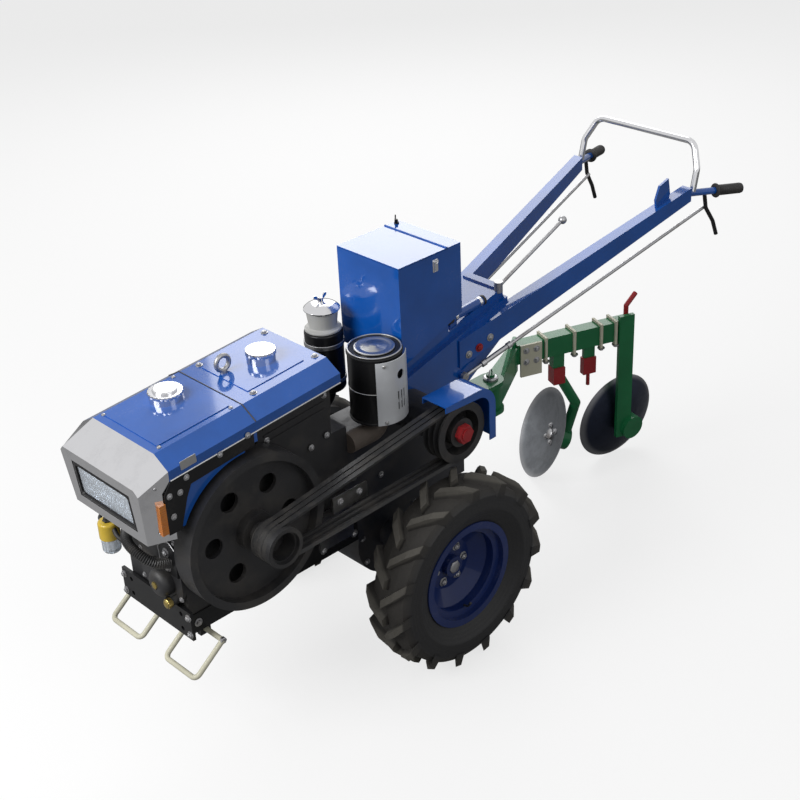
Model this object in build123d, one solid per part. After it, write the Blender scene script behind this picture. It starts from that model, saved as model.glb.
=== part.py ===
from build123d import *
import os
from math import acos, atan2, cos, degrees, hypot, pi, radians, sin, sqrt, tan

# Power tiller: a two-wheel walking tractor with a belt-driven diesel and a two-disc plough.
# Lengths are in millimetres. +X is forward, +Y is the tractor's left, +Z is up.
# The pieces are placed from the middle of the wheel axle, on the ground, and moved at the end so
# that the origin lies on the ground under the middle of the whole machine.

# Wheels
TYRE_RADIUS = 320.0
TYRE_WIDTH = 155.0
TYRE_WALL = 12.0
LUG_COUNT = 15
LUG_HEIGHT = 24.0
LUG_WIDTH = 27.0
LUG_FLARE = 9.0
LUG_SLANT = 15.0
LUG_OVERLAP = 3.0
SHOULDER_DROP = 26.0
SIDEWALL_RADIUS = 226.0
TRACK = 740.0
BEAD_RADIUS = 158.0
BEAD_WIDTH = 104.0
RIM_LIP = 18.0
RIM_SHEET = 5.0
RIM_WELL = 20.0
RIM_SEAT = 20.0
WHEEL_DISC_DISH = 34.0
HUB_RADIUS = 62.0
HUB_FLANGE = 14.0
DISC_FLAT = 24.0
HUB_CAP_RADIUS = 34.0
HUB_CAP_LENGTH = 22.0
HUB_NECK_RADIUS = 37.0
AXLE_RADIUS = 24.0
AXLE_DEPTH = 90.0
AXLE_HOUSING_RADIUS = 48.0
RUNNING_FIT = 0.08
TURNING_GAP = 6.0

# Gearbox
GEARBOX_FRONT_X = 190.0
GEARBOX_REAR_X = -330.0
GEARBOX_HALF_WIDTH = 92.0
GEARBOX_TOP_LIFT = -33.0
GEARBOX_BOTTOM_LIFT = -348.0
GEARBOX_WALL = 12.0
GEARBOX_REAR_WALL = 70.0
FINAL_DRIVE_RADIUS = 140.0
FINAL_DRIVE_HALF_WIDTH = 78.0

# Frame rails and front plate
RAIL_OVERHANG = 8.0
RAIL_WIDTH = 38.0
RAIL_HEIGHT = 62.0
RAIL_OUTER_Y = 140.0
RAIL_BOTTOM_LIFT = -333.0
RAIL_WALL = 6.0
FRONT_PLATE_THICKNESS = 10.0
FRONT_PLATE_HALF_WIDTH = 165.0
FRONT_PLATE_HEIGHT = 95.0
WEIGHT_BOLT_Y = 240.0
WEIGHT_BOLT_Z = 50.0
WEIGHT_BOLT_RADIUS = 7.5

# Engine
ENGINE_SETBACK = 72.0
CRANK_AT = 355.0
ENGINE_LENGTH = 560.0
ENGINE_HALF_WIDTH = 136.0
CORE_FOOT = 36.0
ENGINE_REAR_FOOT = 38.0
ENGINE_REAR_STEP = 123.0
SUMP_DEPTH = 60.0
SUMP_MARGIN = 60.0
ENGINE_WALL = 4.5
MAIN_BEARING_RADIUS = 55.0
HEAD_LENGTH = 72.0
HEAD_HALF_WIDTH = 118.0
HEAD_DROP = 332.0
HEAD_HEIGHT = 210.0

# Hood and fuel tank share one section
HOOD_OVERHANG = 42.0
HOOD_LENGTH = 293.0
TANK_LENGTH = 307.0
CORE_WALL = 8.0
HOOD_FRONT_TOP_LIFT = 282.0
HOOD_RISE = 47.0
HOOD_CREASE_HALF = 141.0
HOOD_SIDE_HALF = 197.0
CHAMFER_DROP = 32.0
SIDE_DROP = 30.0
SHEET = 3.0
SIDE_PANEL_DROP = 150.0

# Headlamp shroud
SHROUD_DEPTH = 92.0
SHROUD_NOSE_DROP = 59.0
SHROUD_HEIGHT = 240.0
SHROUD_TOP_HALF = 182.0
SHROUD_BOTTOM_HALF = 168.0
SHROUD_LEAN = 17.0
SHROUD_WALL = 3.5
LENS_HALF_WIDTH = 135.0
LENS_HEIGHT = 118.0

# Flywheel and belt drive
FLYWHEEL_LIFT = -51.0
FLYWHEEL_RADIUS = 236.0
FLYWHEEL_WIDTH = 74.0
FLYWHEEL_GAP = 14.0
FLYWHEEL_RIM = 24.0
FLYWHEEL_WEB = 12.0
FLYWHEEL_HUB_RADIUS = 58.0
FLYWHEEL_HOLE_RADIUS = 30.0
FLYWHEEL_HOLES = 6
CRANK_RADIUS = 27.0
ENGINE_PULLEY_RADIUS = 60.0
CLUTCH_PULLEY_RADIUS = 98.0
CLUTCH_X = -85.0
BELT_TYRE_GAP = 10.0
CLUTCH_SHAFT_RADIUS = 18.0
CLUTCH_HOUSING_RADIUS = 62.0
CLUTCH_CAP_LENGTH = 20.0
CLUTCH_CAP_RADIUS = 31.0
CLUTCH_HUB_RADIUS = 46.0
BELT_COUNT = 3
BELT_PITCH = 21.0
BELT_WIDTH = 16.0
BELT_FOOT_WIDTH = 9.5
BELT_DEPTH = 11.0
GROOVE_CLEARANCE = 2.0
PULLEY_WEB = 16.0
PULLEY_RIM = 26.0
PULLEY_HUB_RADIUS = 34.0
BELT_MIDDLE_Y = 293.0
BELT_GAP = 0.5
PULLEY_RING = 12.0

# Belt guard
GUARD_WIDTH = 98.0
GUARD_SHEET = 3.0
GUARD_RISE = 124.0
GUARD_FRONT = 80.0
GUARD_REAR = 132.0
GUARD_BEND = 72.0
GUARD_REAR_DROP = 66.0
GUARD_LIP = 27.0
GUARD_FRONT_LIP = 20.0
GUARD_TAB = 34.0

# Toolbox
BOX_FRONT_X = -29.0
BOX_LENGTH = 258.0
BOX_HALF_WIDTH = 133.0
BOX_FRONT_HEIGHT = 322.0
BOX_FLOOR_SLOPE = 0.36
HINGE_RADIUS = 4.0
BOX_SHEET = 4.0
BOX_Y = 8.0
LID_LENGTH = 200.0
LID_SHEET = 4.0
LID_LIP = 12.0
LID_GAP = 1.0

# Handle frame behind the gearbox top
FRAME_FRONT_X = -35.0
FRAME_REAR_X = -540.0
FRAME_HALF_WIDTH = 98.0
FRAME_TOP_LIFT = 87.0
FRAME_SLOPE = 0.257
DECK_FRONT_X = -215.0
DECK_HALF_WIDTH = 78.0
DECK_HEIGHT = 26.0
DECK_LIP = 8.0
DECK_LIP_LENGTH = 22.0
CONSOLE_TUBE_RADIUS = 15.0
CONSOLE_TUBE_Y = 70.0
CONSOLE_TUBE_FRONT_X = -285.0
CONSOLE_TUBE_REAR_X = -455.0
CONSOLE_TUBE_FRONT_RISE = 127.0
CONSOLE_TUBE_REAR_RISE = 139.0
CRADLE_HEIGHT = 91.0
FRAME_REAR_HEIGHT = 118.0
CRADLE_HALF_WIDTH = 80.0
CRADLE_SETBACK = 30.0
FRAME_SHEET = 5.0

# Handlebars: the arms rise and spread towards the grips
ARM_BASE_X = -310.0
ARM_TIP_X = -1290.0
ARM_BASE_OUTER_Y = 104.0
ARM_TIP_OUTER_Y = 257.0
ARM_BASE_WIDTH = 45.0
ARM_TIP_WIDTH = 38.0
ARM_BASE_LOW_LIFT = 49.0
ARM_TIP_LOW_LIFT = 352.0
ARM_BASE_DEPTH = 95.0
ARM_TIP_DEPTH = 48.0
ARM_WALL = 10.0
TUBE_REACH = 215.0
TUBE_SPREAD = 51.0
TUBE_FALL = 2.0
GRIP_LENGTH = 112.0
GRIP_RADIUS = 17.0
TUBE_RADIUS = 12.0
BAR_RADIUS = 11.0
BAR_RISE = 180.0
BAR_TOP_HALF = 205.0
BAR_SETBACK = 72.0
BAR_BOW_Y = 244.0
BAR_BOW_BACK = 20.0
BAR_BEND = 42.0

# Fittings on the engine
RADIATOR_CAP_SETBACK = 183.0
RADIATOR_CAP_Y = -53.0
RADIATOR_CAP_RADIUS = 48.0
RADIATOR_CAP_HEIGHT = 20.0
RADIATOR_KNOB_RADIUS = 36.0
RADIATOR_KNOB_HEIGHT = 14.0
FUEL_CAP_SETBACK = 477.0
FUEL_CAP_Y = 3.0
FUEL_CAP_RADIUS = 42.0
FUEL_CAP_HEIGHT = 28.0
CAP_ROOT = 6.0
LIFTING_EYE_SETBACK = 367.0
LIFTING_EYE_Y = -31.0
EYE_RADIUS = 22.0
EYE_BAR = 7.0
EYE_STEM_RADIUS = 11.0
EYE_STEM_HEIGHT = 10.0
PAD_RISE = 2.5
HOOD_PAD_HALF = 120.0
HOOD_PAD_MARGIN = 26.0
TANK_PAD_HALF = 104.0
TANK_PAD_MARGIN = 52.0
MARKER_SETBACK = 18.0
MARKER_LENGTH = 20.0
MARKER_HEIGHT = 92.0
MARKER_LIFT = 30.0
MARKER_PROUD = 4.0
STRIP_DEPTH = 34.0
STRIP_LENGTH = 280.0
STRIP_THICKNESS = 3.0
BRACKET_DROP = 155.0
BRACKET_LENGTH = 46.0
MUFFLER_SETBACK = 198.0
MUFFLER_Y = 122.0
MUFFLER_RADIUS = 82.0
MUFFLER_BOTTOM_LIFT = 52.0
MUFFLER_HEIGHT = 224.0
ELBOW_LIFT = 4.0
ELBOW_RADIUS = 32.0
SHIELD_GAP = 8.0
SHIELD_ANGLE = 92.0
SHIELD_TURN = 94.0
SHIELD_HOLE_RADIUS = 15.0
SHIELD_HOLE_TURN = 6.0
SHIELD_HOLE_DROP = 62.0
SLOT_WIDTH = 6.0
SLOT_LENGTH = 62.0
SLOT_PITCH = 13.0
SLOT_DROP = 145.0
MUFFLER_LIP = 2.5
MUFFLER_LIP_HEIGHT = 9.0
AIR_CLEANER_SETBACK = 212.0
CAN_WALL = 3.0
CANISTER_BOTTOM_LIFT = 52.0
CANISTER_HEIGHT = 200.0
CANISTER_RADIUS = 60.0
FILTER_REACH = 70.0
FILTER_Y = -105.0
FILTER_TOP_LIFT = -23.0
FILTER_RADIUS = 30.0
FILTER_LENGTH = 52.0
BOWL_RADIUS = 27.0
BOWL_LENGTH = 50.0
FRONT_COVER_THICKNESS = 12.0
FRONT_COVER_LOW = 6.0
FRONT_COVER_HEIGHT = 230.0
FRONT_COVER_RIGHT = -60.0
FRONT_COVER_CORNER = 45.0
DOME_Y = 58.0
DOME_LIFT = 56.0
DOME_RADIUS = 44.0
DOME_LENGTH = 38.0
PLUG_RADIUS = 13.0
RIB_COUNT = 4
RIB_PITCH = 24.0
RIB_HEIGHT = 7.0
RIB_DEPTH = 3.0
RIB_LENGTH = 225.0
JACKET_PANEL = 6.0
GEAR_COVER_THICKNESS = 18.0
GEAR_COVER_RADIUS = 150.0
STARTER_BOSS_RADIUS = 28.0
STARTER_BOSS_LENGTH = 46.0
PUMP_LENGTH = 120.0
PUMP_HEIGHT = 70.0
PUMP_DEPTH = 44.0
HOUSING_END_Y = 250.0

# Levers
STEERING_X = -320.0
STEERING_LIFT = 20.0
STEERING_BOSS_RADIUS = 14.0
STEERING_LEVER_AT = 0.32
GEAR_LEVER_Y = 72.0
GEAR_LEVER_INSET = 14.0
GEAR_LEVER_RADIUS = 6.0
GEAR_KNOB_RADIUS = 14.0
GEAR_KNOB_BACK = 293.0
GEAR_KNOB_OUT = 16.0
GEAR_KNOB_RISE = 141.0
BOOT_HEIGHT = 18.0
PADDLE_AHEAD = 125.0
PADDLE_INSET = 39.0
PADDLE_SINK = 20.0
PADDLE_OUTLINE = (
    (-22.0, 0.0), (14.0, 0.0), (26.0, 60.0), (6.0, 105.0), (-40.0, 118.0), (-52.0, 60.0), (-36.0, 30.0),
)
PADDLE_THICKNESS = 8.0
STEERING_LEVER_RADIUS = 7.0
STEERING_LEVER_BEND = 30.0
STEERING_LEVER_COURSE = ((-12.0, 2.0, -62.0), (-50.0, 8.0, -120.0), (-72.0, 10.0, -175.0))
PULL_ROD_RADIUS = 6.0
EYE_PLATE = 12.0
STEERING_BOSS_LENGTH = 10.0
BAR_FOOT = 0.1
GRIP_END_WALL = 5.0

# Plough
HITCH_PIN_X = -560.0
HITCH_PIN_RADIUS = 15.0
HITCH_HEIGHT = 120.0
HITCH_BOTTOM_Z = 500.0
BEAM_TOP_Z = 612.0
BEAM_HEIGHT = 75.0
BEAM_WIDTH = 50.0
BEAM_FRONT_X = -820.0
BEAM_FRONT_Y = -125.0
BEAM_LENGTH = 470.0
BEAM_YAW = 21.0
HITCH_ROOT_X = -440.0
HITCH_HALF_WIDTH = 45.0
HITCH_PLATE = 15.0
FRONT_POST_AT = 170.0
FRONT_POST_DROP = 100.0
POST_KNEE = (-1064.0, -44.0, 300.0)
POST_BAR_RADIUS = 19.0
REAR_POST_AT = 435.0
REAR_POST_TOP = 26.0
REAR_POST_WIDTH = 60.0
DISC_SHAFT_RADIUS = 15.0
CLAMP_BAR = 9.0
CLAMP_PLACES = (110.0, 225.0, 335.0, 395.0)
CLAMP_PLATE_ALONG = (8.0, 92.0)
CLAMP_PLATE_DROP = 50.0
CLAMP_PLATE = 8.0
SHORT_POST_AT = 300.0
SHORT_POST_DROP = 100.0
SCRAPER_BLOCK = 46.0
SCRAPER_BLOCK_HEIGHT = 66.0
SCRAPER_BAR_RADIUS = 7.0
HANDLE_RADIUS = 9.0
HANDLE_BACK = 52.0
HANDLE_RISE = 46.0
NECK_RIB = 12.0
NECK_RIB_RISE = 34.0
POST_WIDTH = 44.0
POST_THICKNESS = 16.0
DISC_RADIUS = 174.0
DISC_DEPTH = 40.0
DISC_SHEET = 6.0
DISC_HUB_RADIUS = 46.0
DISC_HUB_LENGTH = 52.0
FRONT_DISC_X = -1000.0
FRONT_DISC_Y = -150.0
FRONT_DISC_YAW = -30.0
FRONT_DISC_TILT = 24.0
REAR_DISC_X = -1262.0
REAR_DISC_Y = -12.0
REAR_DISC_YAW = -100.0
REAR_DISC_TILT = 5.0

# Front stand
STAND_SETBACK = 60.0
STAND_BAR_RADIUS = 8.0
STAND_REACH = 105.0
STAND_DROP = 78.0
STAND_INNER_Y = 60.0
STAND_OUTER_Y = 205.0

# Tension bracket beside the belts
TENSION_X = 210.0
TENSION_LENGTH = 135.0
TENSION_OUTER_Y = 220.0
TENSION_SHEET = 5.0
TENSION_RISE = 195.0
TENSION_FACE = 47.0
TENSION_FOOT = 30.0

# Sizes that follow from the ones above
AXLE_Z = TYRE_RADIUS

# The clutch shaft clears the tyre below its belts, and each lift is a height above that shaft
CLUTCH_Z = AXLE_Z + TYRE_RADIUS + CLUTCH_PULLEY_RADIUS + BELT_TYRE_GAP
GEARBOX_TOP_Z = CLUTCH_Z + GEARBOX_TOP_LIFT
GEARBOX_BOTTOM_Z = CLUTCH_Z + GEARBOX_BOTTOM_LIFT
RAIL_BOTTOM_Z = CLUTCH_Z + RAIL_BOTTOM_LIFT
HOOD_FRONT_TOP_Z = CLUTCH_Z + HOOD_FRONT_TOP_LIFT
FLYWHEEL_Z = CLUTCH_Z + FLYWHEEL_LIFT
FRAME_TOP_Z = CLUTCH_Z + FRAME_TOP_LIFT
ARM_BASE_LOW_Z = CLUTCH_Z + ARM_BASE_LOW_LIFT
ARM_TIP_LOW_Z = CLUTCH_Z + ARM_TIP_LOW_LIFT
MUFFLER_BOTTOM_Z = CLUTCH_Z + MUFFLER_BOTTOM_LIFT
ELBOW_Z = CLUTCH_Z + ELBOW_LIFT
CANISTER_BOTTOM_Z = CLUTCH_Z + CANISTER_BOTTOM_LIFT
FILTER_TOP_Z = CLUTCH_Z + FILTER_TOP_LIFT
STEERING_Z = CLUTCH_Z + STEERING_LIFT
CONSOLE_TUBE_FRONT = (CONSOLE_TUBE_FRONT_X, CONSOLE_TUBE_Y, FRAME_TOP_Z + CONSOLE_TUBE_FRONT_RISE)
CONSOLE_TUBE_REAR = (CONSOLE_TUBE_REAR_X, CONSOLE_TUBE_Y, FRAME_TOP_Z + CONSOLE_TUBE_REAR_RISE)

# Ends, widths and turning points
ENGINE_REAR_X = GEARBOX_FRONT_X + ENGINE_SETBACK
ENGINE_FRONT_X = ENGINE_REAR_X + ENGINE_LENGTH
RAIL_FRONT_X = ENGINE_FRONT_X + RAIL_OVERHANG
HOOD_FRONT_X = ENGINE_FRONT_X + HOOD_OVERHANG
SHROUD_FRONT_X = HOOD_FRONT_X + SHROUD_DEPTH
SHROUD_TOP_Z = HOOD_FRONT_TOP_Z - SHROUD_NOSE_DROP
SHROUD_BOTTOM_Z = HOOD_FRONT_TOP_Z - SHROUD_HEIGHT
FLYWHEEL_X = ENGINE_REAR_X + CRANK_AT
FLYWHEEL_INNER_Y = ENGINE_HALF_WIDTH + FLYWHEEL_GAP
GRIP_END_X = ARM_TIP_X - TUBE_REACH
GRIP_END_Y = ARM_TIP_OUTER_Y + TUBE_SPREAD
GRIP_END_Z = ARM_TIP_LOW_Z - TUBE_FALL
BAR_TOP_Z = ARM_TIP_LOW_Z + BAR_RISE
BAR_TOP_X = ARM_TIP_X - BAR_SETBACK
PADDLE_X = ARM_TIP_X + PADDLE_AHEAD
PADDLE_Y = ARM_TIP_OUTER_Y - PADDLE_INSET
PADDLE_Z = ARM_TIP_LOW_Z - PADDLE_SINK
RADIATOR_CAP = (HOOD_FRONT_X - RADIATOR_CAP_SETBACK, RADIATOR_CAP_Y)
FUEL_CAP = (HOOD_FRONT_X - FUEL_CAP_SETBACK, FUEL_CAP_Y)
LIFTING_EYE = (HOOD_FRONT_X - LIFTING_EYE_SETBACK, LIFTING_EYE_Y)
MUFFLER_X = ENGINE_REAR_X - MUFFLER_SETBACK
AIR_CLEANER_X = ENGINE_REAR_X - AIR_CLEANER_SETBACK
FILTER_X = ENGINE_FRONT_X + FILTER_REACH
STAND_PIVOT_X = RAIL_FRONT_X - STAND_SETBACK
MACHINE_MIDDLE_X = (SHROUD_FRONT_X + GRIP_END_X) / 2
TANK_FRONT_X = HOOD_FRONT_X - HOOD_LENGTH
TANK_REAR_X = TANK_FRONT_X - TANK_LENGTH
HOOD_SLOPE = HOOD_RISE / (HOOD_LENGTH + TANK_LENGTH)
RAIL_TOP_Z = RAIL_BOTTOM_Z + RAIL_HEIGHT
RAIL_INNER_Y = RAIL_OUTER_Y - RAIL_WIDTH
ENGINE_TOP_Z = HOOD_FRONT_TOP_Z - CHAMFER_DROP - SIDE_DROP - CORE_FOOT
HEAD_BOTTOM_Z = ENGINE_TOP_Z - HEAD_DROP
BOX_FLOOR_Z = FRAME_TOP_Z + FRAME_SLOPE * (FRAME_FRONT_X - BOX_FRONT_X) + CRADLE_HEIGHT
BOX_TOP_Z = BOX_FLOOR_Z + BOX_FRONT_HEIGHT
FLYWHEEL_OUTER_Y = FLYWHEEL_INNER_Y + FLYWHEEL_WIDTH
BELT_SPAN = (BELT_COUNT - 1) * BELT_PITCH + BELT_WIDTH
PULLEY_HALF = BELT_SPAN / 2 + 4
PULLEY_INNER_Y = BELT_MIDDLE_Y - PULLEY_HALF
PULLEY_OUTER_Y = BELT_MIDDLE_Y + PULLEY_HALF
GUARD_INNER_Y = BELT_MIDDLE_Y - GUARD_WIDTH / 2
GUARD_OUTER_Y = BELT_MIDDLE_Y + GUARD_WIDTH / 2
GUARD_TOP_Z = CLUTCH_Z + GUARD_RISE
GUARD_REAR_X = CLUTCH_X - GUARD_REAR
GUARD_LOW_Z = CLUTCH_Z - GUARD_REAR_DROP
BOX_REAR_X = BOX_FRONT_X - BOX_LENGTH
FRONT_DISC = (FRONT_DISC_X, FRONT_DISC_Y, FRONT_DISC_YAW, FRONT_DISC_TILT)
REAR_DISC = (REAR_DISC_X, REAR_DISC_Y, REAR_DISC_YAW, REAR_DISC_TILT)
LID_REAR_X = BOX_FRONT_X - LID_LENGTH
STAND_PIVOT_Z = RAIL_BOTTOM_Z - 15
TUBE_LENGTH = hypot(
    GRIP_END_X - ARM_TIP_X,
    GRIP_END_Y - ARM_TIP_OUTER_Y + ARM_TIP_WIDTH / 2,
    GRIP_END_Z - ARM_TIP_LOW_Z - ARM_TIP_DEPTH / 2,
)


def block(x0, x1, y0, y1, z0, z1):
    """A box between three pairs of planes."""
    return Pos((x0 + x1) / 2, (y0 + y1) / 2, (z0 + z1) / 2) * Box(x1 - x0, y1 - y0, z1 - z0)


def rod(start, end, radius):
    """A round bar from one point to another."""
    a = Vector(*start)
    b = Vector(*end)
    place = Plane(origin=a, z_dir=b - a)
    bar = Cylinder(radius, (b - a).length, align=(Align.CENTER, Align.CENTER, Align.MIN))
    return place * bar


def drum(x, z, radius, y0, y1):
    """A round plate or drum with its axis along Y."""
    return rod((x, y0, z), (x, y1, z), radius)


def turned(x, z, profile):
    """A solid turned about a line along Y at (x, z), from (radius, y) points."""
    face = make_face(Polyline(*profile, close=True))
    return Pos(x, 0, z) * revolve(face, Axis.Y)


def slab(points, y0, y1):
    """A plate between two Y planes whose outline is given by (x, z) points."""
    plane = Plane(origin=(0, y0, 0), x_dir=(1, 0, 0), z_dir=(0, -1, 0))
    face = make_face(Polyline(*points, close=True))
    return extrude(plane * face, amount=-(y1 - y0))


def hollow_slab(points, y0, y1, wall):
    """The space inside such a plate when it is a closed box of a given wall."""
    plane = Plane(origin=(0, y0 + wall, 0), x_dir=(1, 0, 0), z_dir=(0, -1, 0))
    face = offset(make_face(Polyline(*points, close=True)), amount=-wall)
    return extrude(plane * face, amount=-(y1 - y0 - 2 * wall))


def mirrored(solid):
    """The same piece on the other side of the machine."""
    return mirror(solid, Plane.XZ)


def bent_rod(points, radius, bend):
    """A round bar along straight runs with one bend radius."""
    path = FilletPolyline(*points, radius=bend)
    start = Plane(origin=path @ 0, z_dir=path % 0)
    return sweep(start * Circle(radius), path=path)


def frame_rails():
    """Two channel rails with their open sides facing inwards, under the engine."""
    outer = block(GEARBOX_FRONT_X, RAIL_FRONT_X, RAIL_INNER_Y, RAIL_OUTER_Y, RAIL_BOTTOM_Z, RAIL_TOP_Z)
    hollow = block(
        GEARBOX_FRONT_X, RAIL_FRONT_X, RAIL_INNER_Y - RAIL_WALL, RAIL_OUTER_Y - RAIL_WALL,
        RAIL_BOTTOM_Z + RAIL_WALL, RAIL_TOP_Z - RAIL_WALL,
    )
    rail = outer - hollow
    return rail + mirrored(rail)


def front_cross_plate():
    """The plate across the front ends of the rails."""
    x0 = RAIL_FRONT_X
    plate = block(
        x0, x0 + FRONT_PLATE_THICKNESS, -FRONT_PLATE_HALF_WIDTH, FRONT_PLATE_HALF_WIDTH,
        RAIL_BOTTOM_Z, RAIL_BOTTOM_Z + FRONT_PLATE_HEIGHT,
    )
    middle_z = RAIL_BOTTOM_Z + FRONT_PLATE_HEIGHT / 2
    for side in (-1, 1):
        for level in (-1, 1):
            y = side * WEIGHT_BOLT_Y / 2
            z = middle_z + level * WEIGHT_BOLT_Z / 2
            plate -= rod((x0 - 1, y, z), (x0 + FRONT_PLATE_THICKNESS + 1, y, z), WEIGHT_BOLT_RADIUS)
    return plate


def engine_outline():
    """The engine's side outline, with its stepped rear foot under the cylinder."""
    foot_x = ENGINE_REAR_X + ENGINE_REAR_FOOT
    step_z = RAIL_TOP_Z + ENGINE_REAR_STEP
    return [
        (ENGINE_REAR_X, ENGINE_TOP_Z), (ENGINE_REAR_X, step_z), (foot_x, step_z - ENGINE_REAR_FOOT),
        (foot_x, RAIL_TOP_Z), (ENGINE_FRONT_X, RAIL_TOP_Z), (ENGINE_FRONT_X, ENGINE_TOP_Z),
    ]


def engine_block():
    """The engine as one plain hollow casting: crankcase on the rails and a sump between them."""
    half = ENGINE_HALF_WIDTH
    wall = ENGINE_WALL
    case = slab(engine_outline(), -half, half)
    bearing = drum(FLYWHEEL_X, FLYWHEEL_Z, MAIN_BEARING_RADIUS, half - AXLE_DEPTH - wall, half)
    case -= hollow_slab(engine_outline(), -half, half, wall) - bearing
    half = RAIL_INNER_Y - 2 * TURNING_GAP
    x0 = ENGINE_REAR_X + SUMP_MARGIN
    x1 = ENGINE_FRONT_X - SUMP_MARGIN
    sump = block(x0, x1, -half, half, RAIL_TOP_Z - SUMP_DEPTH, RAIL_TOP_Z)
    sump -= block(x0 + wall, x1 - wall, wall - half, half - wall, RAIL_TOP_Z - SUMP_DEPTH + wall, RAIL_TOP_Z)
    bore = drum(
        FLYWHEEL_X, FLYWHEEL_Z, CRANK_RADIUS + RUNNING_FIT, ENGINE_HALF_WIDTH - AXLE_DEPTH, FLYWHEEL_INNER_Y,
    )
    return case + sump - bore


def engine_covers():
    """The covers on the crankcase: ribbed jacket panels, the front end cover with its dome, the gear cover."""
    half = ENGINE_HALF_WIDTH
    x0 = ENGINE_REAR_X
    x1 = x0 + RIB_LENGTH + 2 * RIB_PITCH

    def line(x, drop):
        return (x, min(hood_top(x) - CHAMFER_DROP - SIDE_DROP - drop, ENGINE_TOP_Z + RIB_COUNT * RIB_PITCH))

    low = RIB_PITCH * (RIB_COUNT + 1)
    panel = slab(
        [line(x0, RIB_HEIGHT), line(x1, RIB_HEIGHT), line(x1, low), line(x0, low)], half, half + JACKET_PANEL,
    )
    for i in range(RIB_COUNT):
        drop = RIB_PITCH * (i + 0.8)
        rib = [
            line(x0 + RIB_PITCH, drop), line(x1 - RIB_PITCH, drop),
            line(x1 - RIB_PITCH, drop + RIB_HEIGHT), line(x0 + RIB_PITCH, drop + RIB_HEIGHT),
        ]
        panel += slab(rib, half + JACKET_PANEL, half + JACKET_PANEL + RIB_DEPTH)
    covers = panel + mirrored(panel)

    z0 = RAIL_BOTTOM_Z + FRONT_PLATE_HEIGHT + FRONT_COVER_LOW
    middle_y = (FRONT_COVER_RIGHT + half) / 2
    face = Plane(
        origin=(ENGINE_FRONT_X, middle_y, z0 + FRONT_COVER_HEIGHT / 2), x_dir=(0, 1, 0), z_dir=(1, 0, 0),
    )
    outline = RectangleRounded(half - FRONT_COVER_RIGHT, FRONT_COVER_HEIGHT, FRONT_COVER_CORNER)
    covers += extrude(face * outline, amount=FRONT_COVER_THICKNESS)
    x = ENGINE_FRONT_X + FRONT_COVER_THICKNESS
    z = z0 + DOME_LIFT
    dome = rod((x, DOME_Y, z), (x + DOME_LENGTH, DOME_Y, z), DOME_RADIUS)
    dome = fillet(dome.edges().filter_by(GeomType.CIRCLE).sort_by(Axis.X)[-1], DOME_LENGTH * 0.6)
    plug_y = DOME_Y + DOME_RADIUS
    covers += dome + rod((x, plug_y, z - DOME_RADIUS), (x + DOME_LENGTH, plug_y, z - DOME_RADIUS), PLUG_RADIUS)

    outer_y = -half - GEAR_COVER_THICKNESS
    side_x = FLYWHEEL_X + GEAR_COVER_RADIUS / 2
    side_z = FLYWHEEL_Z - GEAR_COVER_RADIUS / 2
    side_radius = GEAR_COVER_RADIUS * 0.8
    wall = ENGINE_WALL
    cover = drum(FLYWHEEL_X, FLYWHEEL_Z, GEAR_COVER_RADIUS, outer_y, -half)
    cover += drum(side_x, side_z, side_radius, outer_y, -half)
    cover -= drum(FLYWHEEL_X, FLYWHEEL_Z, GEAR_COVER_RADIUS - wall, outer_y + wall, -half)
    cover -= drum(side_x, side_z, side_radius - wall, outer_y + wall, -half)
    cover += drum(FLYWHEEL_X, FLYWHEEL_Z, STARTER_BOSS_RADIUS, outer_y - STARTER_BOSS_LENGTH, outer_y)
    cover -= drum(FLYWHEEL_X, FLYWHEEL_Z, STARTER_BOSS_RADIUS - wall, outer_y - STARTER_BOSS_LENGTH, outer_y)
    pump_x = FLYWHEEL_X - GEAR_COVER_RADIUS - PUMP_LENGTH / 2
    pump = block(pump_x, pump_x + PUMP_LENGTH, -half - PUMP_DEPTH, -half, FLYWHEEL_Z, FLYWHEEL_Z + PUMP_HEIGHT)
    pump = chamfer(pump.edges().filter_by(Axis.X), RIB_DEPTH)
    return covers + cover + pump


def cylinder_head():
    """The head with its valve cover, on the engine's rear face."""
    head = block(
        ENGINE_REAR_X - HEAD_LENGTH, ENGINE_REAR_X, -HEAD_HALF_WIDTH, HEAD_HALF_WIDTH,
        HEAD_BOTTOM_Z, HEAD_BOTTOM_Z + HEAD_HEIGHT,
    )
    wall = 2 * ENGINE_WALL
    head -= block(
        ENGINE_REAR_X - HEAD_LENGTH + wall, ENGINE_REAR_X - wall, wall - HEAD_HALF_WIDTH,
        HEAD_HALF_WIDTH - wall,
        HEAD_BOTTOM_Z + wall, HEAD_BOTTOM_Z + HEAD_HEIGHT - wall,
    )
    return head


def hood_top(x):
    """Height of the flat top of hood and tank at a station x."""
    return HOOD_FRONT_TOP_Z + HOOD_SLOPE * (HOOD_FRONT_X - x)


def hood_section(x, inset=0.0, floor=0.0):
    """The section of hood and tank: flat top, two chamfers, short upright sides."""
    top = hood_top(x) - inset
    side = HOOD_SIDE_HALF - inset
    crease = HOOD_CREASE_HALF - inset / 2
    low = top - CHAMFER_DROP
    base = hood_top(x) - CHAMFER_DROP - SIDE_DROP + floor
    points = [(-side, base), (side, base), (side, low), (crease, top), (-crease, top), (-side, low)]
    plane = Plane(origin=(x, 0, 0), x_dir=(0, 1, 0), z_dir=(1, 0, 0))
    return plane * make_face(Polyline(*points, close=True))


def top_pad(x0, x1, half):
    """A low raised field pressed into the flat top between two stations."""
    outline = [
        (x0, hood_top(x0) - SHEET), (x1, hood_top(x1) - SHEET), (x1, hood_top(x1) + PAD_RISE),
        (x0, hood_top(x0) + PAD_RISE),
    ]
    return slab(outline, -half, half)


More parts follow.
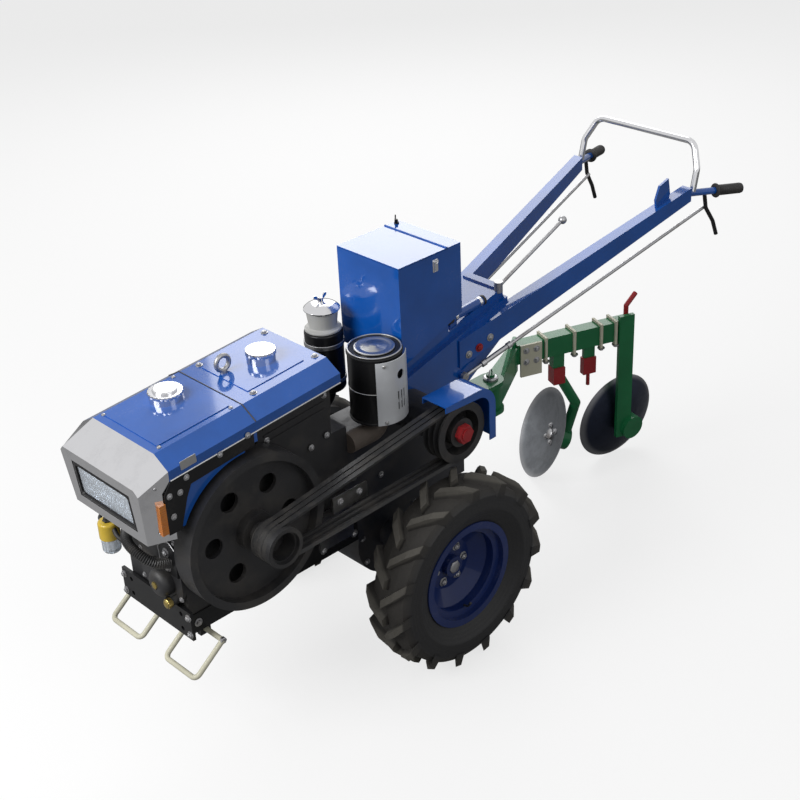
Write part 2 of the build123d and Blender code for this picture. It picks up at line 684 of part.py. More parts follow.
def hood_pad():
    return top_pad(TANK_FRONT_X + HOOD_PAD_MARGIN, HOOD_FRONT_X - HOOD_PAD_MARGIN, HOOD_PAD_HALF)


def tank_pad():
    return top_pad(TANK_REAR_X + TANK_PAD_MARGIN, TANK_FRONT_X - TANK_PAD_MARGIN, TANK_PAD_HALF)


def top_solid():
    """Hood and tank as one filled form, which caps and eye are seated on."""
    return loft([hood_section(TANK_REAR_X), hood_section(HOOD_FRONT_X)]) + hood_pad() + tank_pad()


def radiator_hood():
    """The front part of the blue top, a sheet cover over the radiator."""
    outer = loft([hood_section(TANK_FRONT_X), hood_section(HOOD_FRONT_X)])
    inner = loft([hood_section(TANK_FRONT_X, SHEET), hood_section(HOOD_FRONT_X, SHEET)])
    return outer + hood_pad() - inner


def fuel_tank():
    """The rear part of the blue top, a closed tank with a flat floor."""
    inside = loft(
        [hood_section(TANK_REAR_X + SHEET, SHEET, SHEET), hood_section(TANK_FRONT_X - SHEET, SHEET, SHEET)]
    )
    return loft([hood_section(TANK_REAR_X), hood_section(TANK_FRONT_X)]) + tank_pad() - inside


def side_brackets():
    """The black strip under each side of the hood, which widens into the headlamp's bracket."""
    y0 = HOOD_SIDE_HALF
    base_front = hood_top(HOOD_FRONT_X) - CHAMFER_DROP - SIDE_DROP
    slope = HOOD_SLOPE
    x0 = HOOD_FRONT_X - STRIP_LENGTH
    x1 = HOOD_FRONT_X - BRACKET_LENGTH
    nose = HOOD_FRONT_X + BRACKET_LENGTH / 2
    low = base_front - BRACKET_DROP
    outline = [
        (x0, base_front + slope * STRIP_LENGTH), (HOOD_FRONT_X, base_front), (nose, base_front - STRIP_DEPTH),
        (nose, low), (HOOD_FRONT_X - STRIP_DEPTH / 2, low), (x1, base_front - 2 * STRIP_DEPTH),
        (x1 - STRIP_DEPTH / 2, base_front - STRIP_DEPTH), (x0, base_front + slope * STRIP_LENGTH - STRIP_DEPTH),
    ]
    strip = slab(outline, y0, y0 + STRIP_THICKNESS)
    return strip + mirrored(strip)


def cylinder_jacket():
    """The black water jacket that carries the tank above the crankcase."""
    half = ENGINE_HALF_WIDTH
    top_front = hood_top(TANK_FRONT_X) - CHAMFER_DROP - SIDE_DROP
    top_rear = hood_top(TANK_REAR_X) - CHAMFER_DROP - SIDE_DROP
    outline = [
        (TANK_REAR_X, ENGINE_TOP_Z), (TANK_FRONT_X, ENGINE_TOP_Z),
        (TANK_FRONT_X, top_front), (TANK_REAR_X, top_rear),
    ]
    return slab(outline, -half, half) - hollow_slab(outline, -half, half, ENGINE_WALL)


def radiator_core():
    """The radiator, which fills the hood cover and stands on the crankcase, with hollow headers."""
    inside = loft([hood_section(TANK_FRONT_X, SHEET), hood_section(HOOD_FRONT_X, SHEET)])
    wall = CORE_WALL
    inside -= loft(
        [hood_section(TANK_FRONT_X + wall, wall, wall), hood_section(HOOD_FRONT_X - wall, wall, wall)]
    )
    half = ENGINE_HALF_WIDTH
    base_front = hood_top(HOOD_FRONT_X) - CHAMFER_DROP - SIDE_DROP
    base_rear = hood_top(TANK_FRONT_X) - CHAMFER_DROP - SIDE_DROP
    front = min(HOOD_FRONT_X, ENGINE_FRONT_X)
    base_mid = base_front + (base_rear - base_front) * (HOOD_FRONT_X - front) / HOOD_LENGTH
    outline = [
        (TANK_FRONT_X, ENGINE_TOP_Z), (front, ENGINE_TOP_Z), (front, base_mid), (TANK_FRONT_X, base_rear),
    ]
    return inside + slab(outline, -half, half) - hollow_slab(outline, -half, half, wall)


def side_panels():
    """A cover under each side of the hood, cut round to clear the flywheel."""
    y0 = HOOD_SIDE_HALF - SHEET
    base_front = hood_top(HOOD_FRONT_X) - CHAMFER_DROP - SIDE_DROP
    base_rear = hood_top(TANK_FRONT_X) - CHAMFER_DROP - SIDE_DROP
    outline = [
        (TANK_FRONT_X, base_rear), (HOOD_FRONT_X, base_front), (HOOD_FRONT_X, base_front - SIDE_PANEL_DROP),
        (TANK_FRONT_X, base_front - SIDE_PANEL_DROP),
    ]
    panel = slab(outline, y0, HOOD_SIDE_HALF)
    panel -= drum(FLYWHEEL_X, FLYWHEEL_Z, FLYWHEEL_RADIUS + 2 * TURNING_GAP, y0 - 1, HOOD_SIDE_HALF + 1)
    panel -= block(
        TANK_FRONT_X - 1, FLYWHEEL_X, y0 - 1, HOOD_SIDE_HALF + 1, FLYWHEEL_Z, base_rear - SIDE_DROP,
    )
    panel = panel.solids().sort_by(SortBy.VOLUME)[-1]
    return panel + mirrored(panel)


def shroud_outline(x, inset):
    """The shroud's rear outline, which follows the hood, and its leaning front outline."""
    side = HOOD_SIDE_HALF - inset
    crease = HOOD_CREASE_HALF - inset / 2
    top = hood_top(HOOD_FRONT_X) - inset
    base = SHROUD_BOTTOM_Z + inset
    rear_points = [
        (-side, base), (side, base), (side, top - CHAMFER_DROP), (crease, top), (-crease, top),
        (-side, top - CHAMFER_DROP),
    ]
    rear_plane = Plane(origin=(HOOD_FRONT_X, 0, 0), x_dir=(0, 1, 0), z_dir=(1, 0, 0))
    rear = rear_plane * make_face(Polyline(*rear_points, close=True))
    height = hypot(SHROUD_TOP_Z - SHROUD_BOTTOM_Z, SHROUD_LEAN)
    lean = atan2(SHROUD_LEAN, SHROUD_TOP_Z - SHROUD_BOTTOM_Z)
    top_half = SHROUD_TOP_HALF - inset
    low_half = SHROUD_BOTTOM_HALF - inset
    shoulder = CHAMFER_DROP / 2
    front_points = [
        (-low_half, inset - height), (low_half, inset - height), (top_half, -shoulder - inset),
        (top_half - shoulder, -inset), (shoulder - top_half, -inset), (-top_half, -shoulder - inset),
    ]
    front_plane = Plane(origin=(x, 0, SHROUD_TOP_Z), x_dir=(0, 1, 0), z_dir=(cos(lean), 0, -sin(lean)))
    front = front_plane * make_face(Polyline(*front_points, close=True))
    return rear, front, front_plane, height


def shroud_outer():
    rear, front, _, _ = shroud_outline(SHROUD_FRONT_X, 0)
    return loft([rear, front])


def lens_plate(margin, back, forward):
    """A plate in the shroud's window, from a distance behind its front face to one before it."""
    _, _, plane, height = shroud_outline(SHROUD_FRONT_X, 0)
    middle = plane * Pos(0, -height / 2, (forward - back) / 2)
    return middle * Box(2 * (LENS_HALF_WIDTH - margin), LENS_HEIGHT - 2 * margin, forward + back)


def headlamp_shroud():
    """The chrome housing at the nose: a thin walled box, open behind, with a window in front."""
    rear, front, _, _ = shroud_outline(SHROUD_FRONT_X - SHROUD_WALL, SHROUD_WALL)
    return shroud_outer() - loft([rear, front]) - lens_plate(0, 4 * SHROUD_WALL, SHROUD_WALL)


def headlamp_lens():
    """The clear lens in the window, flush with the shroud's front wall."""
    return lens_plate(0, SHROUD_WALL, 0)


def marker_lamps():
    """A marker lamp low on each side of the shroud, ahead of its bracket."""
    x0 = HOOD_FRONT_X + BRACKET_LENGTH / 2 + 1
    z0 = SHROUD_BOTTOM_Z + MARKER_LIFT
    lamp = block(
        x0, x0 + MARKER_LENGTH, SHROUD_BOTTOM_HALF - MARKER_SETBACK, HOOD_SIDE_HALF + MARKER_PROUD, z0,
        z0 + MARKER_HEIGHT,
    )
    lamp -= shroud_outer()
    lamp = lamp.solids().sort_by(Axis.Y)[-1]
    return lamp + mirrored(lamp)


def filler_caps():
    """The radiator cap on the hood and the fuel cap on the tank."""
    x, y = RADIATOR_CAP
    base = hood_top(x)
    top = base + PAD_RISE + RADIATOR_CAP_HEIGHT
    cap = rod((x, y, base - CAP_ROOT), (x, y, top), RADIATOR_CAP_RADIUS)
    cap = fillet(cap.edges().filter_by(GeomType.CIRCLE).sort_by(Axis.Z)[-1], RADIATOR_KNOB_HEIGHT / 3)
    knob = rod((x, y, top), (x, y, top + RADIATOR_KNOB_HEIGHT), RADIATOR_KNOB_RADIUS)
    knob = fillet(knob.edges().filter_by(GeomType.CIRCLE).sort_by(Axis.Z)[-1], RADIATOR_KNOB_HEIGHT / 3)
    x, y = FUEL_CAP
    base = hood_top(x)
    top = base + PAD_RISE + FUEL_CAP_HEIGHT
    other = rod((x, y, base - CAP_ROOT), (x, y, top), FUEL_CAP_RADIUS)
    other = fillet(other.edges().filter_by(GeomType.CIRCLE).sort_by(Axis.Z)[-1], RADIATOR_KNOB_HEIGHT / 3)
    return (cap + knob + other) - top_solid()


def lifting_eye():
    """The forged eye that stands between hood and tank."""
    x, y = LIFTING_EYE
    base = hood_top(x)
    ring = Pos(x, y, base + EYE_RADIUS + EYE_STEM_HEIGHT) * Rot(90, 0, 0) * Torus(EYE_RADIUS, EYE_BAR)
    stem = rod((x, y, base - CAP_ROOT), (x, y, base + EYE_STEM_HEIGHT), EYE_STEM_RADIUS)
    return (ring + stem) - top_solid()


def exhaust_elbow():
    """The cast elbow from the head up to the muffler."""
    start = (ENGINE_REAR_X - HEAD_LENGTH, MUFFLER_Y, ELBOW_Z)
    return bent_rod(
        [start, (MUFFLER_X, MUFFLER_Y, ELBOW_Z), (MUFFLER_X, MUFFLER_Y, MUFFLER_BOTTOM_Z)], ELBOW_RADIUS,
        ELBOW_RADIUS,
    )


def muffler():
    """The upright drum of the silencer with rolled lips and pressed rings on its top."""
    r = MUFFLER_RADIUS
    lip = r + MUFFLER_LIP
    h = MUFFLER_HEIGHT
    edge = MUFFLER_LIP_HEIGHT
    step = MUFFLER_LIP
    profile = [
        (0, 0), (r * 0.9, 0), (lip, edge / 2), (lip, edge), (r, edge + step), (r, h - edge - step),
        (lip, h - edge),
        (lip, h - edge / 2), (r * 0.94, h), (r * 0.66, h), (r * 0.62, h + step), (r * 0.4, h + step),
        (r * 0.36, h),
        (r * 0.14, h), (r * 0.1, h + step), (0, h + step),
    ]
    body = revolve(make_face(Polyline(*[(a, 0, b) for a, b in profile], close=True)), Axis.Z)
    body -= Pos(0, 0, CAN_WALL) * Cylinder(
        r - CAN_WALL, h - 2 * CAN_WALL, align=(Align.CENTER, Align.CENTER, Align.MIN),
    )
    return Pos(MUFFLER_X, MUFFLER_Y, MUFFLER_BOTTOM_Z) * body


def muffler_shield():
    """A bowed sheet on the muffler's outer side with one round hole and three slots."""
    x, y = MUFFLER_X, MUFFLER_Y
    low = MUFFLER_BOTTOM_Z + MUFFLER_LIP_HEIGHT
    high = MUFFLER_BOTTOM_Z + MUFFLER_HEIGHT - MUFFLER_LIP_HEIGHT
    outer = MUFFLER_RADIUS + SHIELD_GAP + SHEET
    ring = rod((x, y, low), (x, y, high), outer)
    ring -= rod((x, y, low), (x, y, high), outer - SHEET)
    reach = 2 * outer
    half = radians(SHIELD_ANGLE / 2)
    wedge = Polyline((0, 0), (reach, -reach * tan(half)), (reach, reach * tan(half)), close=True)
    sector = extrude(make_face(wedge), amount=high - low)
    sheet = ring & (Pos(x, y, low) * Rot(0, 0, SHIELD_TURN) * sector)
    top = MUFFLER_BOTTOM_Z + MUFFLER_HEIGHT
    hole = Rot(0, 90, 0) * Cylinder(SHIELD_HOLE_RADIUS, reach, align=(Align.CENTER, Align.CENTER, Align.MIN))
    sheet -= Pos(x, y, top - SHIELD_HOLE_DROP) * Rot(0, 0, SHIELD_TURN + SHIELD_HOLE_TURN) * hole
    for i in (-1, 0, 1):
        slot = Pos(reach / 2, i * SLOT_PITCH, 0) * Box(reach, SLOT_WIDTH, SLOT_LENGTH)
        sheet -= Pos(x, y, top - SLOT_DROP) * Rot(0, 0, SHIELD_TURN + SHIELD_HOLE_TURN) * slot
    clip = rod(
        (x, y, low + SHIELD_HOLE_DROP), (x, y, low + SHIELD_HOLE_DROP + MUFFLER_LIP_HEIGHT), outer - SHEET,
    )
    clip -= rod((x, y, low), (x, y, high), MUFFLER_RADIUS)
    inner_sector = Pos(x, y, low) * Rot(0, 0, SHIELD_TURN) * sector
    return sheet + (clip & inner_sector)


def air_cleaner():
    """The black canister of the air cleaner on its intake elbow."""
    x, y = AIR_CLEANER_X, -MUFFLER_Y
    start = (ENGINE_REAR_X - HEAD_LENGTH, y, ELBOW_Z)
    pipe = bent_rod([start, (x, y, ELBOW_Z), (x, y, CANISTER_BOTTOM_Z)], ELBOW_RADIUS - 6, ELBOW_RADIUS)
    can = rod((x, y, CANISTER_BOTTOM_Z), (x, y, CANISTER_BOTTOM_Z + CANISTER_HEIGHT), CANISTER_RADIUS)
    can = fillet(can.edges().filter_by(GeomType.CIRCLE), 8)
    low = CANISTER_BOTTOM_Z + CAN_WALL
    high = CANISTER_BOTTOM_Z + CANISTER_HEIGHT - CAN_WALL
    can -= rod((x, y, low), (x, y, high), CANISTER_RADIUS - CAN_WALL)
    return pipe + can


def pre_cleaner():
    """The clear bowl with its flange and domed lid above the canister."""
    x, y = AIR_CLEANER_X, -MUFFLER_Y
    z = CANISTER_BOTTOM_Z + CANISTER_HEIGHT
    profile = [
        (0, 0), (CANISTER_RADIUS * 0.95, 0), (CANISTER_RADIUS * 0.95, 8), (CANISTER_RADIUS * 0.72, 12),
        (CANISTER_RADIUS * 0.82, 62), (CANISTER_RADIUS * 0.92, 66), (CANISTER_RADIUS * 0.78, 82),
        (CANISTER_RADIUS * 0.2, 90), (0, 90),
    ]
    face = make_face(Polyline(*[(r, 0, h) for r, h in profile], close=True))
    return Pos(x, y, z) * revolve(face, Axis.Z)


def fuel_filter():
    """The fuel filter's head on its bracket at the front of the engine."""
    x, y, top = FILTER_X, FILTER_Y, FILTER_TOP_Z
    body = rod((x, y, top - FILTER_LENGTH), (x, y, top), FILTER_RADIUS)
    body = fillet(body.edges().filter_by(GeomType.CIRCLE).sort_by(Axis.Z)[-1], FILTER_RADIUS / 4)
    arm = block(
        ENGINE_FRONT_X, x, y - FILTER_RADIUS / 2, y + FILTER_RADIUS / 2, top - FILTER_LENGTH / 2,
        top - FILTER_LENGTH / 4,
    )
    return body + arm


def filter_bowl():
    """The glass bowl under the filter's head."""
    x, y = FILTER_X, FILTER_Y
    top = FILTER_TOP_Z - FILTER_LENGTH
    bowl = rod((x, y, top - BOWL_LENGTH), (x, y, top), BOWL_RADIUS)
    return fillet(bowl.edges().filter_by(GeomType.CIRCLE).sort_by(Axis.Z)[0], BOWL_RADIUS / 2)


def gearbox():
    """The cast gearbox with its final drive, axle housings, rail flange and clutch housing."""
    half = GEARBOX_HALF_WIDTH
    wall = GEARBOX_WALL
    case = block(GEARBOX_REAR_X, GEARBOX_FRONT_X, -half, half, GEARBOX_BOTTOM_Z, GEARBOX_TOP_Z)
    case += block(
        GEARBOX_FRONT_X - 24, GEARBOX_FRONT_X, -RAIL_OUTER_Y, RAIL_OUTER_Y, RAIL_BOTTOM_Z - 10, RAIL_TOP_Z + 40,
    )
    case += drum(0, AXLE_Z, FINAL_DRIVE_RADIUS, -FINAL_DRIVE_HALF_WIDTH, FINAL_DRIVE_HALF_WIDTH)
    case += drum(0, AXLE_Z, AXLE_HOUSING_RADIUS, -HOUSING_END_Y, HOUSING_END_Y)
    case += drum(CLUTCH_X, CLUTCH_Z, CLUTCH_HOUSING_RADIUS, 0, PULLEY_INNER_Y - TURNING_GAP)
    case -= block(
        GEARBOX_REAR_X + GEARBOX_REAR_WALL, GEARBOX_FRONT_X - wall, wall - half, half - wall,
        GEARBOX_BOTTOM_Z + wall, GEARBOX_TOP_Z - wall,
    )
    for side in (-1, 1):
        case -= drum(
            0, AXLE_Z, AXLE_RADIUS + RUNNING_FIT, side * HOUSING_END_Y, side * (HOUSING_END_Y - AXLE_DEPTH),
        )
    case -= drum(
        CLUTCH_X, CLUTCH_Z, CLUTCH_SHAFT_RADIUS + RUNNING_FIT, PULLEY_INNER_Y - TURNING_GAP - AXLE_DEPTH,
        PULLEY_INNER_Y,
    )
    return case


def frame_top(x):
    """Height of the handle frame's upper edge at a station x."""
    return FRAME_TOP_Z + FRAME_SLOPE * (FRAME_FRONT_X - x)


def frame_outline():
    """The side outline of the handle frame."""
    return [
        (FRAME_FRONT_X, GEARBOX_TOP_Z), (FRAME_FRONT_X, frame_top(FRAME_FRONT_X)),
        (FRAME_REAR_X, frame_top(FRAME_REAR_X)), (FRAME_REAR_X, frame_top(FRAME_REAR_X) - FRAME_REAR_HEIGHT),
        (GEARBOX_REAR_X, GEARBOX_TOP_Z),
    ]


def frame_solid():
    """The handle frame's outer form, filled."""
    return slab(frame_outline(), -FRAME_HALF_WIDTH, FRAME_HALF_WIDTH)


def deck_top(x):
    """Height of the raised deck behind the toolbox at a station x."""
    return frame_top(x) + DECK_HEIGHT


def deck_outline():
    """The side outline of the deck, with the upstand along its rear edge."""
    lip_x = FRAME_REAR_X + DECK_LIP_LENGTH
    return [
        (DECK_FRONT_X, frame_top(DECK_FRONT_X)), (DECK_FRONT_X, deck_top(DECK_FRONT_X)),
        (lip_x, deck_top(lip_x)),
        (lip_x, deck_top(lip_x) + DECK_LIP), (FRAME_REAR_X, deck_top(FRAME_REAR_X) + DECK_LIP),
        (FRAME_REAR_X, frame_top(FRAME_REAR_X)),
    ]


def deck_solid():
    """The deck's outer form, filled."""
    return slab(deck_outline(), -DECK_HALF_WIDTH, DECK_HALF_WIDTH)


def deck():
    """The deck as folded sheet."""
    return deck_solid() - hollow_slab(deck_outline(), -DECK_HALF_WIDTH, DECK_HALF_WIDTH, FRAME_SHEET)


def handle_frame():
    """The sheet steel frame on the gearbox that carries toolbox, levers and handlebars."""
    half = FRAME_HALF_WIDTH
    body = frame_solid() - hollow_slab(frame_outline(), -half, half, FRAME_SHEET)
    front = BOX_FRONT_X - CRADLE_SETBACK
    cradle_outline = [
        (front, frame_top(front)), (BOX_REAR_X, frame_top(BOX_REAR_X)),
        (BOX_REAR_X, box_bottom(BOX_REAR_X)), (front, box_bottom(front)),
    ]
    half = CRADLE_HALF_WIDTH
    cradle = slab(cradle_outline, -half, half) - hollow_slab(cradle_outline, -half, half, FRAME_SHEET)
    reach = FRAME_HALF_WIDTH + STEERING_BOSS_LENGTH
    boss = drum(STEERING_X, STEERING_Z, STEERING_BOSS_RADIUS, -reach, reach)
    tube = rod(CONSOLE_TUBE_FRONT, CONSOLE_TUBE_REAR, CONSOLE_TUBE_RADIUS)
    saddle = block(
        CONSOLE_TUBE_FRONT[0] - 3 * CONSOLE_TUBE_RADIUS, CONSOLE_TUBE_FRONT[0] - CONSOLE_TUBE_RADIUS,
        CONSOLE_TUBE_FRONT[1] - FRAME_SHEET, CONSOLE_TUBE_FRONT[1] + FRAME_SHEET,
        deck_top(CONSOLE_TUBE_FRONT[0]) - FRAME_SHEET, CONSOLE_TUBE_FRONT[2],
    )
    return body + cradle + deck() + (tube + saddle - deck_solid()) + boss - drum(
        CLUTCH_X, CLUTCH_Z, CLUTCH_HOUSING_RADIUS, 0, FRAME_HALF_WIDTH,
    )


def box_bottom(x):
    """Height of the toolbox's sloping floor at a station x."""
    return BOX_FLOOR_Z + BOX_FLOOR_SLOPE * (BOX_FRONT_X - x)


def toolbox_prism(inset, top):
    """The toolbox's outline as a solid, shrunk by a wall on every side but the top."""
    x0 = BOX_FRONT_X - inset
    x1 = BOX_REAR_X + inset
    lift = inset * sqrt(1 + BOX_FLOOR_SLOPE ** 2)
    outline = [(x0, box_bottom(x0) + lift), (x0, top), (x1, top), (x1, box_bottom(x1) + lift)]
    half = BOX_HALF_WIDTH - inset
    return slab(outline, BOX_Y - half, BOX_Y + half)


def toolbox():
    """The toolbox: an open box with a sloping floor and a fixed strip behind its lid."""
    top = BOX_TOP_Z - LID_SHEET - LID_GAP
    walls = toolbox_prism(0, top) - toolbox_prism(BOX_SHEET, top)
    strip = block(
        BOX_REAR_X, LID_REAR_X - LID_GAP, BOX_Y - BOX_HALF_WIDTH, BOX_Y + BOX_HALF_WIDTH, top - BOX_SHEET, top,
    )
    raised = block(
        BOX_REAR_X, LID_REAR_X - LID_GAP - HINGE_RADIUS, BOX_Y - BOX_HALF_WIDTH, BOX_Y + BOX_HALF_WIDTH, top,
        BOX_TOP_Z,
    )
    return walls + strip + raised


def toolbox_lid():
    """The lid, a flat sheet with a lip inside the front wall, hinged along its rear edge."""
    half = BOX_HALF_WIDTH
    sheet = block(LID_REAR_X, BOX_FRONT_X, BOX_Y - half, BOX_Y + half, BOX_TOP_Z - LID_SHEET, BOX_TOP_Z)
    gap = BOX_SHEET + TURNING_GAP
    lip = block(
        BOX_FRONT_X - gap - 4, BOX_FRONT_X - gap, BOX_Y - half + gap, BOX_Y + half - gap,
        BOX_TOP_Z - LID_SHEET - LID_LIP, BOX_TOP_Z - LID_SHEET,
    )
    barrel = rod((LID_REAR_X, BOX_Y - half, BOX_TOP_Z), (LID_REAR_X, BOX_Y + half, BOX_TOP_Z), HINGE_RADIUS)
    return sheet + lip + barrel


def arm_section(x, outer_y, width, low_z, depth):
    """One end section of the left arm, a rectangle across the machine."""
    plane = Plane(origin=(x, outer_y - width / 2, low_z + depth / 2), x_dir=(0, 1, 0), z_dir=(1, 0, 0))
    return plane * Rectangle(width, depth)


def handle_tube_point(t):
    """A point on the handle tube's axis, from the arm's tip to the grip's end."""
    y0 = ARM_TIP_OUTER_Y - ARM_TIP_WIDTH / 2
    z0 = ARM_TIP_LOW_Z + ARM_TIP_DEPTH / 2
    return (
        ARM_TIP_X + t * (GRIP_END_X - ARM_TIP_X), y0 + t * (GRIP_END_Y - y0), z0 + t * (GRIP_END_Z - z0),
    )


def handlebar():
    """The left arm with the steel tube that continues it."""
    base = arm_section(ARM_BASE_X, ARM_BASE_OUTER_Y, ARM_BASE_WIDTH, ARM_BASE_LOW_Z, ARM_BASE_DEPTH)
    tip = arm_section(ARM_TIP_X, ARM_TIP_OUTER_Y, ARM_TIP_WIDTH, ARM_TIP_LOW_Z, ARM_TIP_DEPTH)
    arm = loft([tip, base])
    wall = ARM_WALL
    inner_base = arm_section(
        ARM_BASE_X - wall, ARM_BASE_OUTER_Y - wall, ARM_BASE_WIDTH - 2 * wall, ARM_BASE_LOW_Z + wall,
        ARM_BASE_DEPTH - 2 * wall,
    )
    inner_tip = arm_section(
        ARM_TIP_X + wall, ARM_TIP_OUTER_Y - wall, ARM_TIP_WIDTH - 2 * wall, ARM_TIP_LOW_Z + wall,
        ARM_TIP_DEPTH - 2 * wall,
    )
    arm -= loft([inner_tip, inner_base])
    tube = rod(handle_tube_point(-0.1), handle_tube_point(1 - GRIP_END_WALL / TUBE_LENGTH), TUBE_RADIUS)
    return arm + tube - frame_solid()


def handle_grips():
    """A rubber grip on the end of each tube, closed at the tip."""
    start = handle_tube_point(1 - GRIP_LENGTH / TUBE_LENGTH)
    grip = rod(start, handle_tube_point(1), GRIP_RADIUS)
    grip -= rod(handle_tube_point(0), handle_tube_point(1 - GRIP_END_WALL / TUBE_LENGTH), TUBE_RADIUS)
    return grip + mirrored(grip)


def chrome_bar():
    """The bowed bar that joins the two handlebars above the grips."""
    foot = handle_tube_point(BAR_FOOT)
    points = [
        foot, (foot[0] - BAR_BOW_BACK, BAR_BOW_Y, (foot[2] + BAR_TOP_Z) / 2),
        (BAR_TOP_X, BAR_TOP_HALF, BAR_TOP_Z),
        (BAR_TOP_X, -BAR_TOP_HALF, BAR_TOP_Z), (foot[0] - BAR_BOW_BACK, -BAR_BOW_Y, (foot[2] + BAR_TOP_Z) / 2),
        (foot[0], -foot[1], foot[2]),
    ]
    bar = bent_rod(points, BAR_RADIUS, BAR_BEND)
    left = handlebar()
    return bar - left - mirrored(left)


def gear_lever():
    """The gear stick with its knob, standing at the rear edge of the deck."""
    x = FRAME_REAR_X + GEAR_LEVER_INSET
    foot = (x, GEAR_LEVER_Y, deck_top(x) + DECK_LIP)
    knob = (x - GEAR_KNOB_BACK, GEAR_LEVER_Y + GEAR_KNOB_OUT, foot[2] + GEAR_KNOB_RISE)
    stick = rod(foot, knob, GEAR_LEVER_RADIUS) + Pos(*knob) * Sphere(GEAR_KNOB_RADIUS)
    boot = rod(
        (foot[0], foot[1], foot[2] - BOOT_HEIGHT), (foot[0], foot[1], foot[2] + BOOT_HEIGHT), GEAR_KNOB_RADIUS,
    )
    return stick + boot - deck_solid() - frame_solid()


def clutch_lever():
    """The flat paddle of the clutch lever on the left arm."""
    outline = [(PADDLE_X + dx, PADDLE_Z + dz) for dx, dz in PADDLE_OUTLINE]
    half = PADDLE_THICKNESS / 2
    paddle = slab(outline, PADDLE_Y - half, PADDLE_Y + half) - handlebar()
    return paddle.solids().sort_by(Axis.Z)[-1]


def steering_levers():
    """A curved steering lever under each handle tube."""
    x, y, z = handle_tube_point(STEERING_LEVER_AT)
    course = [(x, y, z)] + [(x + dx, y + dy, z + dz) for dx, dy, dz in STEERING_LEVER_COURSE]
    lever = bent_rod(course, STEERING_LEVER_RADIUS, STEERING_LEVER_BEND)
    lever = lever - handlebar()
    return lever + mirrored(lever)


def pull_rods():
    """The rods from the steering levers to the steering clutches in the gearbox."""
    x, y, z = handle_tube_point(STEERING_LEVER_AT)
    dx, dy, dz = STEERING_LEVER_COURSE[0]
    boss_end = FRAME_HALF_WIDTH + STEERING_BOSS_LENGTH
    end = (STEERING_X, boss_end + EYE_PLATE / 2, STEERING_Z)
    bar = rod((x + dx, y + dy - PULL_ROD_RADIUS - STEERING_LEVER_RADIUS / 2, z + dz), end, PULL_ROD_RADIUS)
    eye = drum(STEERING_X, STEERING_Z, STEERING_BOSS_RADIUS, boss_end, boss_end + EYE_PLATE)
    bar = bar + eye - drum(STEERING_X, STEERING_Z, STEERING_BOSS_RADIUS, 0, boss_end)
    bar = bar - steering_levers()
    bar = bar.solids().sort_by(SortBy.VOLUME)[-1]
    return bar + mirrored(bar)


def belt_section(x, z, radius, angle):
    """A belt's section at an angle round a pulley, which narrows towards the pulley's axle."""
    outward = Vector(cos(angle), 0, sin(angle))
    plane = Plane(
        origin=Vector(x, 0, z) + outward * (radius - BELT_GAP), x_dir=outward * -1, z_dir=(
            sin(angle), 0, -cos(angle),
        ),
    )
    wide = BELT_WIDTH / 2
    narrow = BELT_FOOT_WIDTH / 2
    deep = BELT_DEPTH - BELT_GAP
    return plane * make_face(Polyline((0, -wide), (deep, -narrow), (deep, narrow), (0, wide), close=True))


def belt_wrap(x, z, radius, start, turn):
    """The part of a belt that lies on a pulley, from a start angle through a turn, both in radians."""
    return revolve(belt_section(x, z, radius, start), Axis((x, 0, z), (0, -1, 0)), revolution_arc=degrees(turn))


def v_belts():
    """The drive belts, side by side: two straight runs and a wrap round each pulley."""
    ra, rb = ENGINE_PULLEY_RADIUS, CLUTCH_PULLEY_RADIUS
    across = hypot(CLUTCH_X - FLYWHEEL_X, CLUTCH_Z - FLYWHEEL_Z)
    heading = atan2(CLUTCH_Z - FLYWHEEL_Z, CLUTCH_X - FLYWHEEL_X)
    turn = acos((ra - rb) / across)
    loop = belt_wrap(CLUTCH_X, CLUTCH_Z, rb, heading - turn, 2 * turn)
    loop += belt_wrap(FLYWHEEL_X, FLYWHEEL_Z, ra, heading + turn, 2 * pi - 2 * turn)
    for side in (-1, 1):
        angle = heading + side * turn
        from_engine = Vector(FLYWHEEL_X + ra * cos(angle), 0, FLYWHEEL_Z + ra * sin(angle))
        to_clutch = Vector(CLUTCH_X + rb * cos(angle), 0, CLUTCH_Z + rb * sin(angle))
        run = to_clutch - from_engine
        loop += extrude(belt_section(FLYWHEEL_X, FLYWHEEL_Z, ra, angle), amount=run.length, dir=run)
    first = BELT_MIDDLE_Y - (BELT_COUNT - 1) / 2 * BELT_PITCH
    belts = Pos(0, first, 0) * loop
    for i in range(1, BELT_COUNT):
        belts += Pos(0, first + i * BELT_PITCH, 0) * loop
    return belts


def groove_profile(radius):
    """The rim points of a pulley, from its inner to its outer side, with one V groove for each belt."""
    points = []
    half = BELT_WIDTH / 2 + BELT_GAP
    foot = BELT_FOOT_WIDTH / 2 + BELT_GAP
    for i in range(BELT_COUNT):
        y = BELT_MIDDLE_Y + (i - (BELT_COUNT - 1) / 2) * BELT_PITCH
        deep = radius - BELT_DEPTH - GROOVE_CLEARANCE
        points += [(radius, y - half), (deep, y - foot), (deep, y + foot), (radius, y + half)]
    return points


def grooved(radius, bore, x, z, y0, y1):
    """A belt pulley between two Y planes, dished on its outer side down to a web."""
    profile = [(0, y0), (radius, y0)] + groove_profile(radius) + [(radius, y1)]
    profile += [(bore, y1), (bore, y0 + PULLEY_WEB), (0, y0 + PULLEY_WEB)]
    return turned(x, z, profile)


